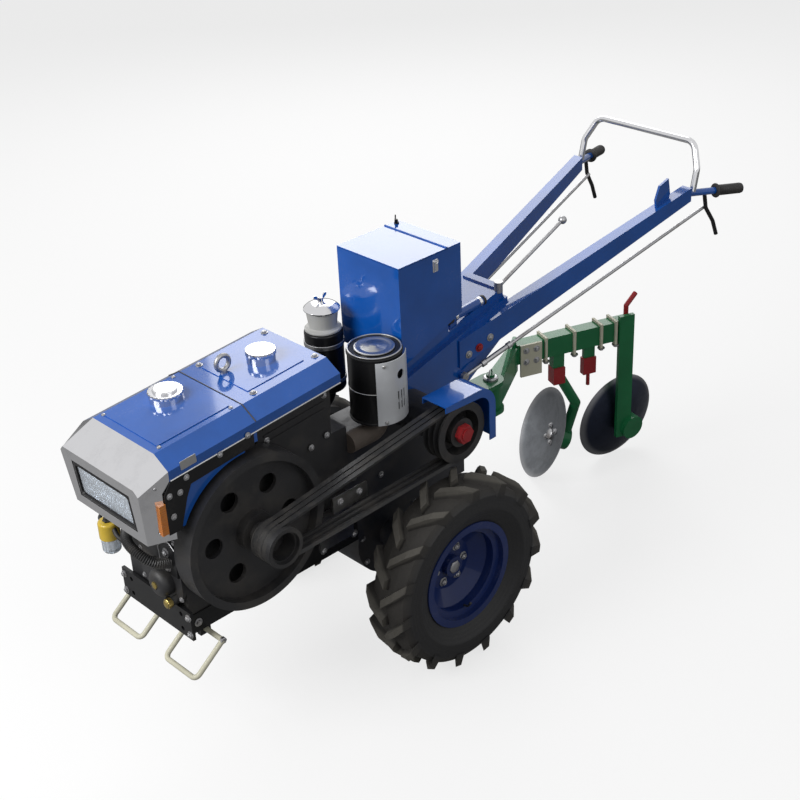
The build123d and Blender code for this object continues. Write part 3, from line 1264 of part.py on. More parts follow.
def flywheel():
    """The heavy flywheel with its thin web, lightening holes and crankshaft end."""
    y0, y1 = FLYWHEEL_INNER_Y, FLYWHEEL_OUTER_Y
    wheel = drum(FLYWHEEL_X, FLYWHEEL_Z, FLYWHEEL_RADIUS, y0, y1)
    recess = FLYWHEEL_RADIUS - FLYWHEEL_RIM
    depth = (FLYWHEEL_WIDTH - FLYWHEEL_WEB) / 2
    for a, b in ((y0, y0 + depth), (y1 - depth, y1)):
        wheel -= drum(FLYWHEEL_X, FLYWHEEL_Z, recess, a, b) - drum(
            FLYWHEEL_X, FLYWHEEL_Z, FLYWHEEL_HUB_RADIUS, a, b,
        )
    middle = (recess + FLYWHEEL_HUB_RADIUS) / 2
    for i in range(FLYWHEEL_HOLES):
        angle = radians(360 / FLYWHEEL_HOLES * i)
        wheel -= drum(
            FLYWHEEL_X + middle * cos(angle), FLYWHEEL_Z + middle * sin(angle), FLYWHEEL_HOLE_RADIUS, y0, y1,
        )
    return wheel + drum(FLYWHEEL_X, FLYWHEEL_Z, CRANK_RADIUS, ENGINE_HALF_WIDTH - AXLE_DEPTH + 5, y0)


def engine_pulley():
    """The small grooved pulley bolted to the flywheel, with a hollow ring at its outer end."""
    bore = ENGINE_PULLEY_RADIUS - PULLEY_RING
    end = PULLEY_OUTER_Y + PULLEY_RING
    neck = FLYWHEEL_OUTER_Y
    pulley = grooved(
        ENGINE_PULLEY_RADIUS, bore - GROOVE_CLEARANCE * 3, FLYWHEEL_X, FLYWHEEL_Z, PULLEY_INNER_Y,
        PULLEY_OUTER_Y,
    )
    start = PULLEY_OUTER_Y - 1
    ring = [(bore, start), (ENGINE_PULLEY_RADIUS, start), (ENGINE_PULLEY_RADIUS, end), (bore, end)]
    pulley += turned(FLYWHEEL_X, FLYWHEEL_Z, ring)
    return pulley + drum(FLYWHEEL_X, FLYWHEEL_Z, PULLEY_HUB_RADIUS, neck, PULLEY_INNER_Y)


def clutch_pulley():
    """The large grooved pulley: the clutch drum, with its cap and shaft."""
    bore = CLUTCH_PULLEY_RADIUS - PULLEY_RIM
    pulley = grooved(CLUTCH_PULLEY_RADIUS, bore, CLUTCH_X, CLUTCH_Z, PULLEY_INNER_Y, PULLEY_OUTER_Y)
    pulley += drum(
        CLUTCH_X, CLUTCH_Z, CLUTCH_SHAFT_RADIUS, PULLEY_INNER_Y - TURNING_GAP - AXLE_DEPTH + 5, PULLEY_INNER_Y,
    )
    pulley += drum(CLUTCH_X, CLUTCH_Z, CLUTCH_HUB_RADIUS, PULLEY_INNER_Y, PULLEY_OUTER_Y)
    return pulley


def pulley_cap():
    """The six-sided cap nut on the clutch shaft's end."""
    across = CLUTCH_CAP_RADIUS
    nut = Pos(CLUTCH_X, PULLEY_OUTER_Y, CLUTCH_Z) * Rot(-90, 0, 0) * extrude(
        RegularPolygon(across, 6), amount=CLUTCH_CAP_LENGTH,
    )
    return nut + drum(
        CLUTCH_X, CLUTCH_Z, across * 0.6, PULLEY_OUTER_Y + CLUTCH_CAP_LENGTH,
        PULLEY_OUTER_Y + CLUTCH_CAP_LENGTH + 4,
    )


def guard_face(inset, front_inset, y):
    """The guard's side outline at a depth inside its top and rear sheets."""
    front = CLUTCH_X + GUARD_FRONT
    rear = GUARD_REAR_X + inset
    top = GUARD_TOP_Z - inset
    bend = max(GUARD_BEND - inset, 1)
    plane = Plane(origin=(0, y, 0), x_dir=(1, 0, 0), z_dir=(0, -1, 0))
    corner = (rear + bend * (1 - cos(pi / 4)), top - bend * (1 - sin(pi / 4)))
    edge = [
        Line((front, top - front_inset), (rear + bend, top)),
        ThreePointArc((rear + bend, top), corner, (rear, top - bend)),
        Line((rear, top - bend), (rear, GUARD_LOW_Z)), Line((rear, GUARD_LOW_Z), (front, GUARD_LOW_Z)),
        Line((front, GUARD_LOW_Z), (front, top - front_inset)),
    ]
    return plane * make_face(edge)


def guard_body(inset, y0, y1, front_inset=0.0):
    return extrude(guard_face(inset, front_inset, y0), amount=-(y1 - y0))


def belt_guard():
    """The fender over the clutch pulley: a flat top bent down at its rear, with a lip on each side."""
    y0, y1 = GUARD_INNER_Y, GUARD_OUTER_Y
    t = GUARD_SHEET
    fender = guard_body(0, y0, y1) - guard_body(t, y0 + t, y1 - t)
    fender -= guard_body(GUARD_LIP, y0 - t, y1 + t, GUARD_FRONT_LIP - GUARD_LIP)
    tab_x = GUARD_REAR_X + GUARD_LIP
    strap = block(
        tab_x - t, tab_x, GEARBOX_HALF_WIDTH, y0 + t, GUARD_LOW_Z - GUARD_TAB, GUARD_LOW_Z + GUARD_TAB / 2,
    )
    return fender + strap


def tyre_profile(shrink):
    """Half section points of the carcass, as (radius, half width) pairs from bead to crown."""
    half = TYRE_WIDTH / 2 - shrink
    crown = TYRE_RADIUS - LUG_HEIGHT - shrink
    return [
        (BEAD_RADIUS + RIM_LIP, BEAD_WIDTH / 2 - shrink), (SIDEWALL_RADIUS, half),
        (crown - SHOULDER_DROP, half * 0.97),
        (crown - SHOULDER_DROP / 4, half * 0.8), (crown, half * 0.35),
    ]


def carcass(shrink):
    """The tyre's body without lugs, or the space inside it for a given wall."""
    outer = [(r, y) for r, y in tyre_profile(shrink)]
    bead = (BEAD_RADIUS, outer[0][1])
    right = [bead] + outer
    left = [(r, -y) for r, y in reversed(right)]
    return turned(0, AXLE_Z, right + left)


def lug_section(angle, y, low, top):
    """One section across a lug in a plane of constant y: a trapezoid between two radii."""
    points = []
    for radius, half in ((low, LUG_WIDTH / 2 + LUG_FLARE), (top, LUG_WIDTH / 2)):
        pair = [radians(angle) - half / TYRE_RADIUS, radians(angle) + half / TYRE_RADIUS]
        if radius == top:
            pair.reverse()
        points += [(radius * cos(a), radius * sin(a)) for a in pair]
    plane = Plane(origin=(0, y, AXLE_Z), x_dir=(1, 0, 0), z_dir=(0, -1, 0))
    return plane * make_face(Polyline(*points, close=True))


def lug(angle, side):
    """A tread lug: it leads at the tyre's middle and slants back to the shoulder."""
    crown = TYRE_RADIUS - LUG_HEIGHT
    half = TYRE_WIDTH / 2
    root = crown - TYRE_WALL / 2
    sections = [
        lug_section(angle, -side * LUG_OVERLAP, root, TYRE_RADIUS),
        lug_section(angle + LUG_SLANT * 0.6, side * half * 0.62, root, TYRE_RADIUS),
        lug_section(angle + LUG_SLANT, side * half, root - SHOULDER_DROP, TYRE_RADIUS - SHOULDER_DROP / 2),
    ]
    return loft(sections, ruled=True)


def tyre():
    """The left tyre with its chevron lugs, hollow, open at the bore where it seats on the rim."""
    body = carcass(0) - carcass(TYRE_WALL)
    pitch = 360 / LUG_COUNT
    lugs = []
    for i in range(LUG_COUNT):
        lugs.append(lug(i * pitch - 90, 1))
        lugs.append(lug((i + 0.5) * pitch - 90, -1))
    body = body.fuse(*lugs)
    return Pos(0, TRACK / 2, 0) * body


def wheel(side):
    """The left wheel: rim with two lips, dished disc, hub and axle shaft."""
    bead = BEAD_WIDTH / 2
    r0 = BEAD_RADIUS
    well = r0 - RIM_WELL
    seat = bead - RIM_SEAT
    t = RIM_SHEET
    rim = [
        (r0 - t, -bead - t), (r0 + RIM_LIP, -bead - t), (r0 + RIM_LIP, -bead), (r0, -bead), (r0, -seat),
        (well, t - seat),
        (well, seat - t), (r0, seat), (r0, bead), (r0 + RIM_LIP, bead), (r0 + RIM_LIP, bead + t),
        (r0 - t, bead + t),
        (r0 - t, seat + t), (well - t, seat), (well - t, -seat), (r0 - t, -seat - t),
    ]
    body = turned(0, AXLE_Z, rim)
    dish = WHEEL_DISC_DISH
    flat = HUB_RADIUS + DISC_FLAT
    plate = [
        (0, -dish), (flat, -dish), (well - t / 2, 0), (well - t / 2, t), (flat - t / 2, t - dish),
        (0, t - dish),
    ]
    body += turned(0, AXLE_Z, plate)
    inner = HOUSING_END_Y + TURNING_GAP - TRACK / 2
    body += drum(0, AXLE_Z, HUB_RADIUS, -dish - HUB_FLANGE, -dish)
    body += drum(0, AXLE_Z, HUB_NECK_RADIUS, inner, -dish - HUB_FLANGE)
    body += drum(0, AXLE_Z, AXLE_RADIUS, inner - TURNING_GAP - AXLE_DEPTH + 5, inner)
    body += drum(0, AXLE_Z, HUB_CAP_RADIUS, t - dish, t - dish + HUB_CAP_LENGTH)
    body = Pos(0, TRACK / 2, 0) * body
    return body if side > 0 else mirrored(body)


def beam_point(along, across=0.0):
    """A point on the plough beam's plan, along it from its front end and to its left."""
    yaw = radians(BEAM_YAW)
    return (
        BEAM_FRONT_X - along * cos(yaw) + across * sin(yaw),
        BEAM_FRONT_Y + along * sin(yaw) + across * cos(yaw),
    )


def beam_block(along0, along1, across0, across1, z0, z1):
    """A block square to the plough beam."""
    x, y = beam_point((along0 + along1) / 2, (across0 + across1) / 2)
    plane = Plane(
        origin=(x, y, (z0 + z1) / 2), x_dir=(-cos(radians(BEAM_YAW)), sin(radians(BEAM_YAW)), 0),
        z_dir=(0, 0, 1),
    )
    return plane * Box(along1 - along0, abs(across1 - across0), z1 - z0)


def hitch_bracket():
    """The hitch on the gearbox's rear face: a block, two plates and the pin."""
    z0 = HITCH_BOTTOM_Z
    z1 = z0 + HITCH_HEIGHT
    plate = HITCH_PLATE
    half = HITCH_HALF_WIDTH
    bracket = block(HITCH_ROOT_X, GEARBOX_REAR_X, -half, half, z0, z1)
    for low in (z0, z1 - plate):
        ear = block(HITCH_PIN_X, HITCH_ROOT_X, -half, half, low, low + plate)
        bracket += ear + rod((HITCH_PIN_X, 0, low), (HITCH_PIN_X, 0, low + plate), half)
    bracket += rod((HITCH_PIN_X, 0, z0 - 20), (HITCH_PIN_X, 0, z1 + 20), HITCH_PIN_RADIUS)
    return bracket


def hitch_neck():
    """The cast neck from the hitch pin to the plough beam."""
    z0 = HITCH_BOTTOM_Z + HITCH_PLATE
    z1 = HITCH_BOTTOM_Z + HITCH_HEIGHT - HITCH_PLATE
    half = BEAM_WIDTH / 2
    left = beam_point(0, half)
    right = beam_point(0, -half)
    outline = [(HITCH_PIN_X - 4, HITCH_HALF_WIDTH - 10), (HITCH_PIN_X - 4, 10 - HITCH_HALF_WIDTH), right, left]
    plan = make_face(Polyline(*outline, close=True))
    neck = Pos(0, 0, z0) * extrude(plan, amount=z1 - z0)
    neck += rod((HITCH_PIN_X, 0, z0), (HITCH_PIN_X, 0, z1), HITCH_HALF_WIDTH - 10)
    neck -= rod((HITCH_PIN_X, 0, z0), (HITCH_PIN_X, 0, z1), HITCH_PIN_RADIUS)
    rib_x = HITCH_PIN_X - HITCH_HALF_WIDTH - NECK_RIB
    end_x, end_y = beam_point(0)
    line = Plane(origin=(rib_x, 0, z1), x_dir=(end_x - rib_x, end_y, 0), z_dir=(end_y, rib_x - end_x, 0))
    length = hypot(end_x - rib_x, end_y)
    web = Polyline((0, 0), (length, 0), (length, NECK_RIB_RISE), (length * 0.6, NECK_RIB_RISE), close=True)
    rib = extrude(line * make_face(web), amount=NECK_RIB / 2, both=True)
    return neck + (rib - plough_beam()) - hitch_bracket()


def plough_beam():
    """The square beam of the plough with the short spare post under its rear half."""
    half = BEAM_WIDTH / 2
    low = BEAM_TOP_Z - BEAM_HEIGHT
    beam = beam_block(0, BEAM_LENGTH, -half, half, low, BEAM_TOP_Z)
    thick = POST_THICKNESS / 2
    wide = POST_WIDTH / 2
    return beam + beam_block(
        SHORT_POST_AT - wide, SHORT_POST_AT + wide, -thick, thick, low - SHORT_POST_DROP, low,
    )


def disc_frame(x, y, yaw, tilt):
    """The plane of a disc's rim: its normal points out of the hollow side."""
    a = radians(yaw)
    e = radians(tilt)
    normal = (cos(e) * cos(a), cos(e) * sin(a), sin(e))
    return Plane(origin=(x, y, DISC_RADIUS * cos(e)), z_dir=normal)


def plough_disc(x, y, yaw, tilt):
    """A dished disc with a sharp rim and its bearing shaft behind."""
    rim = DISC_RADIUS
    outer_depth = DISC_DEPTH + DISC_SHEET
    inner = ThreePointArc((0, 0, -DISC_DEPTH), arc_middle(rim, DISC_DEPTH), (rim, 0, 0))
    outer = ThreePointArc((rim, 0, 0), arc_middle(rim, outer_depth), (0, 0, -outer_depth))
    close = Line((0, 0, -outer_depth), (0, 0, -DISC_DEPTH))
    dish = revolve(make_face([inner, outer, close]), Axis.Z)
    shaft = rod(
        (0, 0, -outer_depth - TURNING_GAP - DISC_HUB_LENGTH + 8), (0, 0, -DISC_DEPTH - 1), DISC_SHAFT_RADIUS,
    )
    return disc_frame(x, y, yaw, tilt) * (dish + shaft)


def arc_middle(rim, depth):
    """The middle point of a dish's section arc, from its centre to its rim."""
    sphere = (rim ** 2 + depth ** 2) / (2 * depth)
    half_angle = acos((sphere - depth) / sphere) / 2
    return (sphere * sin(half_angle), 0, sphere - depth - sphere * cos(half_angle))


def disc_hub(x, y, yaw, tilt):
    """The bearing housing behind a disc."""
    near = -DISC_DEPTH - DISC_SHEET - TURNING_GAP
    hub = rod((0, 0, near - DISC_HUB_LENGTH), (0, 0, near), DISC_HUB_RADIUS)
    return disc_frame(x, y, yaw, tilt) * hub


def hub_bore(x, y, yaw, tilt):
    """The space that a disc's bearing shaft turns in."""
    end = -DISC_DEPTH - DISC_SHEET - TURNING_GAP - DISC_HUB_LENGTH + 2
    return disc_frame(x, y, yaw, tilt) * rod((0, 0, end), (0, 0, 0), DISC_SHAFT_RADIUS + RUNNING_FIT)


def hub_seat(x, y, yaw, tilt):
    """The middle of a disc hub's closed end."""
    plane = disc_frame(x, y, yaw, tilt)
    return plane.from_local_coords(Vector(0, 0, -DISC_DEPTH - DISC_SHEET - TURNING_GAP - DISC_HUB_LENGTH + 8))


def plough_post_front():
    """The front post: a flat bar down from the beam, cranked back behind the front disc to its hub."""
    top = BEAM_TOP_Z - BEAM_HEIGHT
    low = top - FRONT_POST_DROP
    x, y = beam_point(FRONT_POST_AT)
    half = POST_WIDTH / 2
    seat = hub_seat(*FRONT_DISC)
    post = beam_block(FRONT_POST_AT - half, FRONT_POST_AT + half, -POST_THICKNESS, POST_THICKNESS, low, top)
    post += rod(
        (x, y, low + POST_BAR_RADIUS), POST_KNEE, POST_BAR_RADIUS,
    ) + Pos(*POST_KNEE) * Sphere(POST_BAR_RADIUS)
    post += rod(POST_KNEE, (seat.X, seat.Y, seat.Z), POST_BAR_RADIUS)
    return post + disc_hub(*FRONT_DISC) - hub_bore(*FRONT_DISC)


def plough_post_rear():
    """The rear post: a flat bar on the beam's left side, down to the rear disc's hub."""
    half = REAR_POST_WIDTH / 2
    side = BEAM_WIDTH / 2
    seat = hub_seat(*REAR_DISC)
    post = beam_block(
        REAR_POST_AT - half, REAR_POST_AT + half, side, side + POST_THICKNESS, seat.Z - half,
        BEAM_TOP_Z + REAR_POST_TOP,
    )
    return post + disc_hub(*REAR_DISC) - hub_bore(*REAR_DISC)


def beam_clamps():
    """The bent bar clamps round the beam."""
    clamps = Part()
    half = BEAM_WIDTH / 2
    top = BEAM_TOP_Z
    low = BEAM_TOP_Z - BEAM_HEIGHT
    t = CLAMP_BAR
    for along in CLAMP_PLACES:
        loop = beam_block(along - t / 2, along + t / 2, -half - t, half + t, low - t, top + t)
        loop -= beam_block(along - t, along + t, -half, half, low, top)
        clamps += loop
    start, end = CLAMP_PLATE_ALONG
    clamps += beam_block(start, end, half, half + CLAMP_PLATE, low - CLAMP_PLATE_DROP, top)
    return clamps


def scrapers():
    """The red clamp blocks: one on the front post, one on the short post, each with its bar."""
    half = SCRAPER_BLOCK / 2
    top = BEAM_TOP_Z - BEAM_HEIGHT
    z1 = top - FRONT_POST_DROP + POST_WIDTH
    z0 = z1 - SCRAPER_BLOCK_HEIGHT
    holder = beam_block(FRONT_POST_AT - half, FRONT_POST_AT + half, -half, half, z0, z1)
    holder -= plough_post_front()
    holder = holder.solids().sort_by(SortBy.VOLUME)[-1]
    z1 = top - SHORT_POST_DROP / 2
    z0 = z1 - SCRAPER_BLOCK_HEIGHT
    half = (POST_WIDTH + CLAMP_PLATE) / 2
    other = beam_block(SHORT_POST_AT - half, SHORT_POST_AT + half, -half / 2, half / 2, z0, z1) - plough_beam()
    x, y = beam_point(SHORT_POST_AT)
    bar = rod((x, y, z0 - SHORT_POST_DROP / 2), (x, y, z0), SCRAPER_BAR_RADIUS)
    return holder + other + bar - plough_beam()


def depth_handle():
    """The red handle that stands on the beam's rear end."""
    x, y = beam_point(BEAM_LENGTH - HANDLE_RADIUS * 2)
    foot = (x, y, BEAM_TOP_Z)
    knee = (x, y, BEAM_TOP_Z + HANDLE_RISE)
    tip = (x - HANDLE_BACK, y, BEAM_TOP_Z + HANDLE_RISE * 1.7)
    return rod(foot, knee, HANDLE_RADIUS) + Pos(*knee) * Sphere(HANDLE_RADIUS) + rod(knee, tip, HANDLE_RADIUS)


def tension_bracket():
    """The bent sheet on the left rail that carries the belt tensioner's plate."""
    t = TENSION_SHEET
    y0 = RAIL_OUTER_Y
    z0 = RAIL_TOP_Z - TENSION_FOOT
    knee = RAIL_TOP_Z + TENSION_RISE / 2
    face = RAIL_TOP_Z + TENSION_RISE - TENSION_FACE
    top = RAIL_TOP_Z + TENSION_RISE
    points = [
        (y0, z0), (y0 + t, z0), (y0 + t, knee), (TENSION_OUTER_Y, face - t), (TENSION_OUTER_Y, top),
        (TENSION_OUTER_Y - t, top), (TENSION_OUTER_Y - t, face), (y0, knee + t),
    ]
    plane = Plane(origin=(TENSION_X, 0, 0), x_dir=(0, 1, 0), z_dir=(1, 0, 0))
    return extrude(plane * make_face(Polyline(*points, close=True)), amount=TENSION_LENGTH)


def front_stand():
    """The swinging front stand: a pivot bar and two bent feet."""
    x, z = STAND_PIVOT_X, STAND_PIVOT_Z
    fx, fz = x + STAND_REACH, z - STAND_DROP
    bar = rod((x, -STAND_OUTER_Y, z), (x, STAND_OUTER_Y, z), STAND_BAR_RADIUS)
    foot = bent_rod(
        [(x, STAND_INNER_Y, z), (fx, STAND_INNER_Y, fz), (fx, STAND_OUTER_Y, fz), (x, STAND_OUTER_Y, z)],
        STAND_BAR_RADIUS, 18,
    )
    return bar + foot + mirrored(foot)


def stand_lugs():
    """Lugs under the rails that hold the stand's pivot bar."""
    x, z = STAND_PIVOT_X, STAND_PIVOT_Z
    y0 = RAIL_INNER_Y + 6
    lug = block(x - 18, x + 18, y0, y0 + 18, z - 18, RAIL_BOTTOM_Z)
    lug -= drum(x, z, STAND_BAR_RADIUS + RUNNING_FIT, y0, y0 + 18)
    return lug + mirrored(lug)


left_tyre = tyre()
parts = {
    "frame_rails": frame_rails() + stand_lugs(),
    "front_cross_plate": front_cross_plate(),
    "engine_block": engine_block() + cylinder_jacket(),
    "engine_covers": engine_covers(),
    "cylinder_head": cylinder_head(),
    "radiator_hood": radiator_hood(),
    "radiator_core": radiator_core(),
    "fuel_tank": fuel_tank(),
    "side_panels": side_panels(),
    "side_brackets": side_brackets(),
    "headlamp_shroud": headlamp_shroud(),
    "headlamp_lens": headlamp_lens(),
    "marker_lamps": marker_lamps(),
    "filler_caps": filler_caps(),
    "lifting_eye": lifting_eye(),
    "exhaust_elbow": exhaust_elbow(),
    "muffler": muffler(),
    "muffler_shield": muffler_shield(),
    "air_cleaner": air_cleaner(),
    "pre_cleaner": pre_cleaner(),
    "fuel_filter": fuel_filter(),
    "filter_bowl": filter_bowl(),
    "gearbox": gearbox(),
    "handle_frame": handle_frame(),
    "toolbox": toolbox(),
    "toolbox_lid": toolbox_lid(),
    "handlebar_left": handlebar(),
    "handlebar_right": mirrored(handlebar()),
    "handle_grips": handle_grips(),
    "chrome_bar": chrome_bar(),
    "gear_lever": gear_lever(),
    "clutch_lever": clutch_lever(),
    "steering_levers": steering_levers(),
    "pull_rods": pull_rods(),
    "v_belts": v_belts(),
    "flywheel": flywheel(),
    "engine_pulley": engine_pulley(),
    "clutch_pulley": clutch_pulley(),
    "pulley_cap": pulley_cap(),
    "belt_guard": belt_guard(),
    "tension_plate": tension_bracket(),
    "tyre_left": left_tyre,
    "tyre_right": mirrored(left_tyre),
    "wheel_left": wheel(1),
    "wheel_right": wheel(-1),
    "hitch_bracket": hitch_bracket(),
    "hitch_neck": hitch_neck(),
    "plough_beam": plough_beam(),
    "plough_post_front": plough_post_front(),
    "plough_post_rear": plough_post_rear(),
    "beam_clamps": beam_clamps(),
    "scrapers": scrapers(),
    "depth_handle": depth_handle(),
    "disc_front": plough_disc(*FRONT_DISC),
    "disc_rear": plough_disc(*REAR_DISC),
    "front_stand": front_stand(),
}

os.makedirs("parts", exist_ok=True)
place = Pos(-MACHINE_MIDDLE_X, 0, 0)
for name, shape in parts.items():
    export_step(place * shape, f"parts/{name}.step")
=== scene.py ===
"""Looks of a power tiller with a mounted disc plough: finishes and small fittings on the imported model."""

import bmesh
import bpy
import numpy as np
from mathutils import Matrix, Vector


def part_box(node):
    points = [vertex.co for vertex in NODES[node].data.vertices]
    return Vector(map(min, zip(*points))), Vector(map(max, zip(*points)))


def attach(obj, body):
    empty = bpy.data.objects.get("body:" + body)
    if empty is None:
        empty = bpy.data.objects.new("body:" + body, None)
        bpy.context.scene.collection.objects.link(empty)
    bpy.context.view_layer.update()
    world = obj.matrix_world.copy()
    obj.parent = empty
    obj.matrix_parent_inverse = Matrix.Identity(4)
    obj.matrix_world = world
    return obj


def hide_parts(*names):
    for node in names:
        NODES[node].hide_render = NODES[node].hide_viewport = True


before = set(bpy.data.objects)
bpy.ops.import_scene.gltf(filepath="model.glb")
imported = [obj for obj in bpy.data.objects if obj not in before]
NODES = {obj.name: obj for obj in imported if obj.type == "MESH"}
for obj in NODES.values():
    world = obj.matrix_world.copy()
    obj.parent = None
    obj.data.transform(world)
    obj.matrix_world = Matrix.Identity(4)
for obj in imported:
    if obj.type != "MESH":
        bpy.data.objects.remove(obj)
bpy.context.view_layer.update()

# Camera of the photograph, in metres and unit vectors
CAMERA_PLACE = (2.8353, 2.9306, 2.9465)
CAMERA_RIGHT = (-0.718, 0.6947, -0.0427)
CAMERA_UP = (-0.3698, -0.3288, 0.8691)
CAMERA_BACK = (0.5897, 0.6398, 0.4929)
LENS_MM = 64.9
SENSOR_MM = 36.0
SHIFT_X = -0.0003
SHIFT_Y = 0.009
FARTHEST = 50.0

# Shader sockets


class Signal:
    """A socket's output that adds Math nodes when it is used in an expression."""

    def __init__(self, board, socket):
        self.board = board
        self.socket = socket

    def _math(self, operation, first, second):
        return self.board.node("ShaderNodeMath", {"operation": operation}, {0: first, 1: second})

    def __add__(self, other):
        return self._math("ADD", self, other)

    __radd__ = __add__

    def __sub__(self, other):
        return self._math("SUBTRACT", self, other)

    def __rsub__(self, other):
        return self._math("SUBTRACT", other, self)

    def __mul__(self, other):
        return self._math("MULTIPLY", self, other)

    __rmul__ = __mul__

    def __pow__(self, other):
        return self._math("POWER", self, other)


class Finish:
    """A material under construction: its nodes, its shader and the object's own coordinates."""

    def __init__(self, name):
        self.material = bpy.data.materials.new(name)
        self.material.use_nodes = True
        self.tree = self.material.node_tree
        self.tree.nodes.clear()
        self.shader = self.tree.nodes.new("ShaderNodeBsdfPrincipled")
        output = self.tree.nodes.new("ShaderNodeOutputMaterial")
        self.tree.links.new(self.shader.outputs[0], output.inputs["Surface"])
        self.place = self.node("ShaderNodeTexCoord", {}, {}, "Object")

    def _feed(self, socket, value):
        if isinstance(value, Signal):
            self.tree.links.new(value.socket, socket)
        elif isinstance(value, bpy.types.NodeSocket):
            self.tree.links.new(value, socket)
        else:
            socket.default_value = value

    def node(self, kind, settings, values, output=0):
        """Adds a node, with its settings first and then its sockets' values or links."""
        made = self.tree.nodes.new(kind)
        for key, value in settings.items():
            setattr(made, key, value)
        for key, value in values.items():
            self._feed(made.inputs[key], value)
        return Signal(self, made.outputs[output])

    def noise(self, scale, detail=2.0, roughness=0.5, where=None):
        """Smooth noise from 0 to 1 about 0.5, at a number of waves to the metre."""
        return self.node(
            "ShaderNodeTexNoise", {}, {
                "Vector": where or self.place, "Scale": scale, "Detail": detail, "Roughness": roughness,
            }, "Fac",
        )

    def band(self, signal, low, high):
        """A smooth step of a signal from 0 at low to 1 at high."""
        return self.node(
            "ShaderNodeMapRange", {"interpolation_type": "SMOOTHSTEP"}, {
                "Value": signal, "From Min": low, "From Max": high, "To Min": 0.0, "To Max": 1.0,
            },
        )

    def blend(self, factor, first, second):
        """The mix of two colours."""
        return self.node("ShaderNodeMix", {"data_type": "RGBA"}, {0: factor, 6: first, 7: second}, 2)

    def bump(self, height, distance, strength=1.0):
        """A bump from a height signal, with its depth in metres."""
        return self.node("ShaderNodeBump", {}, {"Height": height, "Distance": distance, "Strength": strength})

    def wave(self, signal, pace):
        """A sine of a signal in metres, with its pace in radians to the metre."""
        return self.node("ShaderNodeMath", {"operation": "SINE"}, {0: signal * pace})

    def axis(self, name):
        """One coordinate of the object's own frame, in metres."""
        return self.node("ShaderNodeSeparateXYZ", {}, {0: self.place}, name)

    def set(self, **values):
        """Sets or links the shader's sockets; an underscore stands for a space."""
        for key, value in values.items():
            self._feed(self.shader.inputs[key.replace("_", " ")], value)
        return self.material


def tone(colour, gain=1.0):
    """A colour with four channels, made lighter or darker."""
    return tuple(channel * gain for channel in colour) + (1.0,)


# Colours, linear
BLUE = (0.004, 0.092, 0.42)
# Painted shade: the blue enamel darkened to about a third, used on the wheels' rims, which face away from the
# key lamp
BLUE_IN_PAINTED_SHADE = (0.012, 0.028, 0.13)
GREEN = (0.013, 0.17, 0.06)
BLACK = (0.012, 0.012, 0.013)
IRON = (0.022, 0.022, 0.024)
CREAM = (0.62, 0.6, 0.47)
RED = (0.36, 0.02, 0.025)
DUST = (0.21, 0.19, 0.165)
STEEL = (0.42, 0.42, 0.43)
BRIGHT = (0.78, 0.78, 0.8)
DULL = (0.5, 0.5, 0.5)
BRASS = (0.55, 0.42, 0.14)
BOWL_GREY = (0.5, 0.5, 0.48)
SHIELD_WHITE = (0.66, 0.68, 0.71)
GEARBOX_GREY = (0.018, 0.02, 0.028)
EXHAUST_BROWN = (0.13, 0.105, 0.088)
CORE_BLACK = (0.016, 0.016, 0.018)
BELT_BLACK = (0.028, 0.028, 0.029)
GRIP_BLACK = (0.014, 0.014, 0.015)
FILTER_YELLOW = (0.6, 0.42, 0.045)
DISC_GREY = (0.17, 0.18, 0.195)
DISC_DARK = (0.022, 0.028, 0.05)
DISC_RIM = (0.4, 0.4, 0.41)
RUST_FILM = (0.16, 0.1, 0.06)
SIDEWALL_BLACK = (0.008, 0.008, 0.009)
TREAD_SOIL = (0.042, 0.038, 0.033)
LUG_EARTH = (0.105, 0.098, 0.084)
SAND_GRAIN = (0.1, 0.092, 0.08)
GLASS_CLEAR = (0.8, 0.86, 0.93)
GLASS_FILMED = (0.62, 0.66, 0.72)
AMBER_DEEP = (0.5, 0.13, 0.01)
AMBER_PALE = (0.75, 0.26, 0.03)

# Radii where a finish changes, in metres from the wheel's or disc's own middle
SIDEWALL_END, TREAD_START = 0.262, 0.292
LUG_SHOULDER, LUG_TOP = 0.3, 0.311
DISC_WORN_START, DISC_WORN_FULL = 0.15, 0.172


def paint(name, colour, rough=0.2, grime=0.3, coat=1.0):
    """Sprayed enamel: faint orange peel, cloudy tone, dust film and a few fine scuffs."""
    f = Finish(name)
    cloud = f.noise(5.0, 4.0, 0.55)
    speck = f.noise(90.0, 6.0, 0.7)
    dust = f.band(cloud * 0.65 + speck * 0.35, 0.52, 0.74)
    scuff = f.band(f.noise(420.0, 3.0, 0.6) * f.band(f.noise(11.0, 3.0), 0.45, 0.7), 0.56, 0.64)
    base = f.blend(f.band(cloud, 0.3, 0.7), tone(colour, 0.86), tone(colour, 1.1))
    base = f.blend(dust * (grime * 0.35), base, tone(DUST))
    base = f.blend(scuff * (grime * 0.5), base, tone(colour, 0.35))
    peel = f.noise(260.0, 2.0)
    return f.set(
        Base_Color=base, Roughness=dust * (grime * 0.5) + rough + scuff * 0.2, Coat_Weight=coat,
        Coat_Roughness=0.06, Specular_IOR_Level=0.15, Normal=f.bump(peel, 0.00002, 0.5),
    )


def casting(name, colour, rough=0.5, grain=0.00035):
    """Painted sand casting: a pebbled skin with oily and dusty patches."""
    f = Finish(name)
    skin = f.noise(520.0, 3.0, 0.65)
    lumps = f.noise(60.0, 3.0, 0.5)
    patch = f.band(f.noise(9.0, 5.0, 0.6), 0.45, 0.7)
    base = f.blend(patch * 0.45, tone(colour), tone(DUST, 0.35))
    base = f.blend(f.band(skin, 0.55, 0.75) * 0.3, base, tone(colour, 2.0))
    return f.set(
        Base_Color=base, Roughness=rough + patch * 0.2 - skin * 0.1,
        Normal=f.bump(lumps * 0.6 + skin * 0.4, grain),
    )


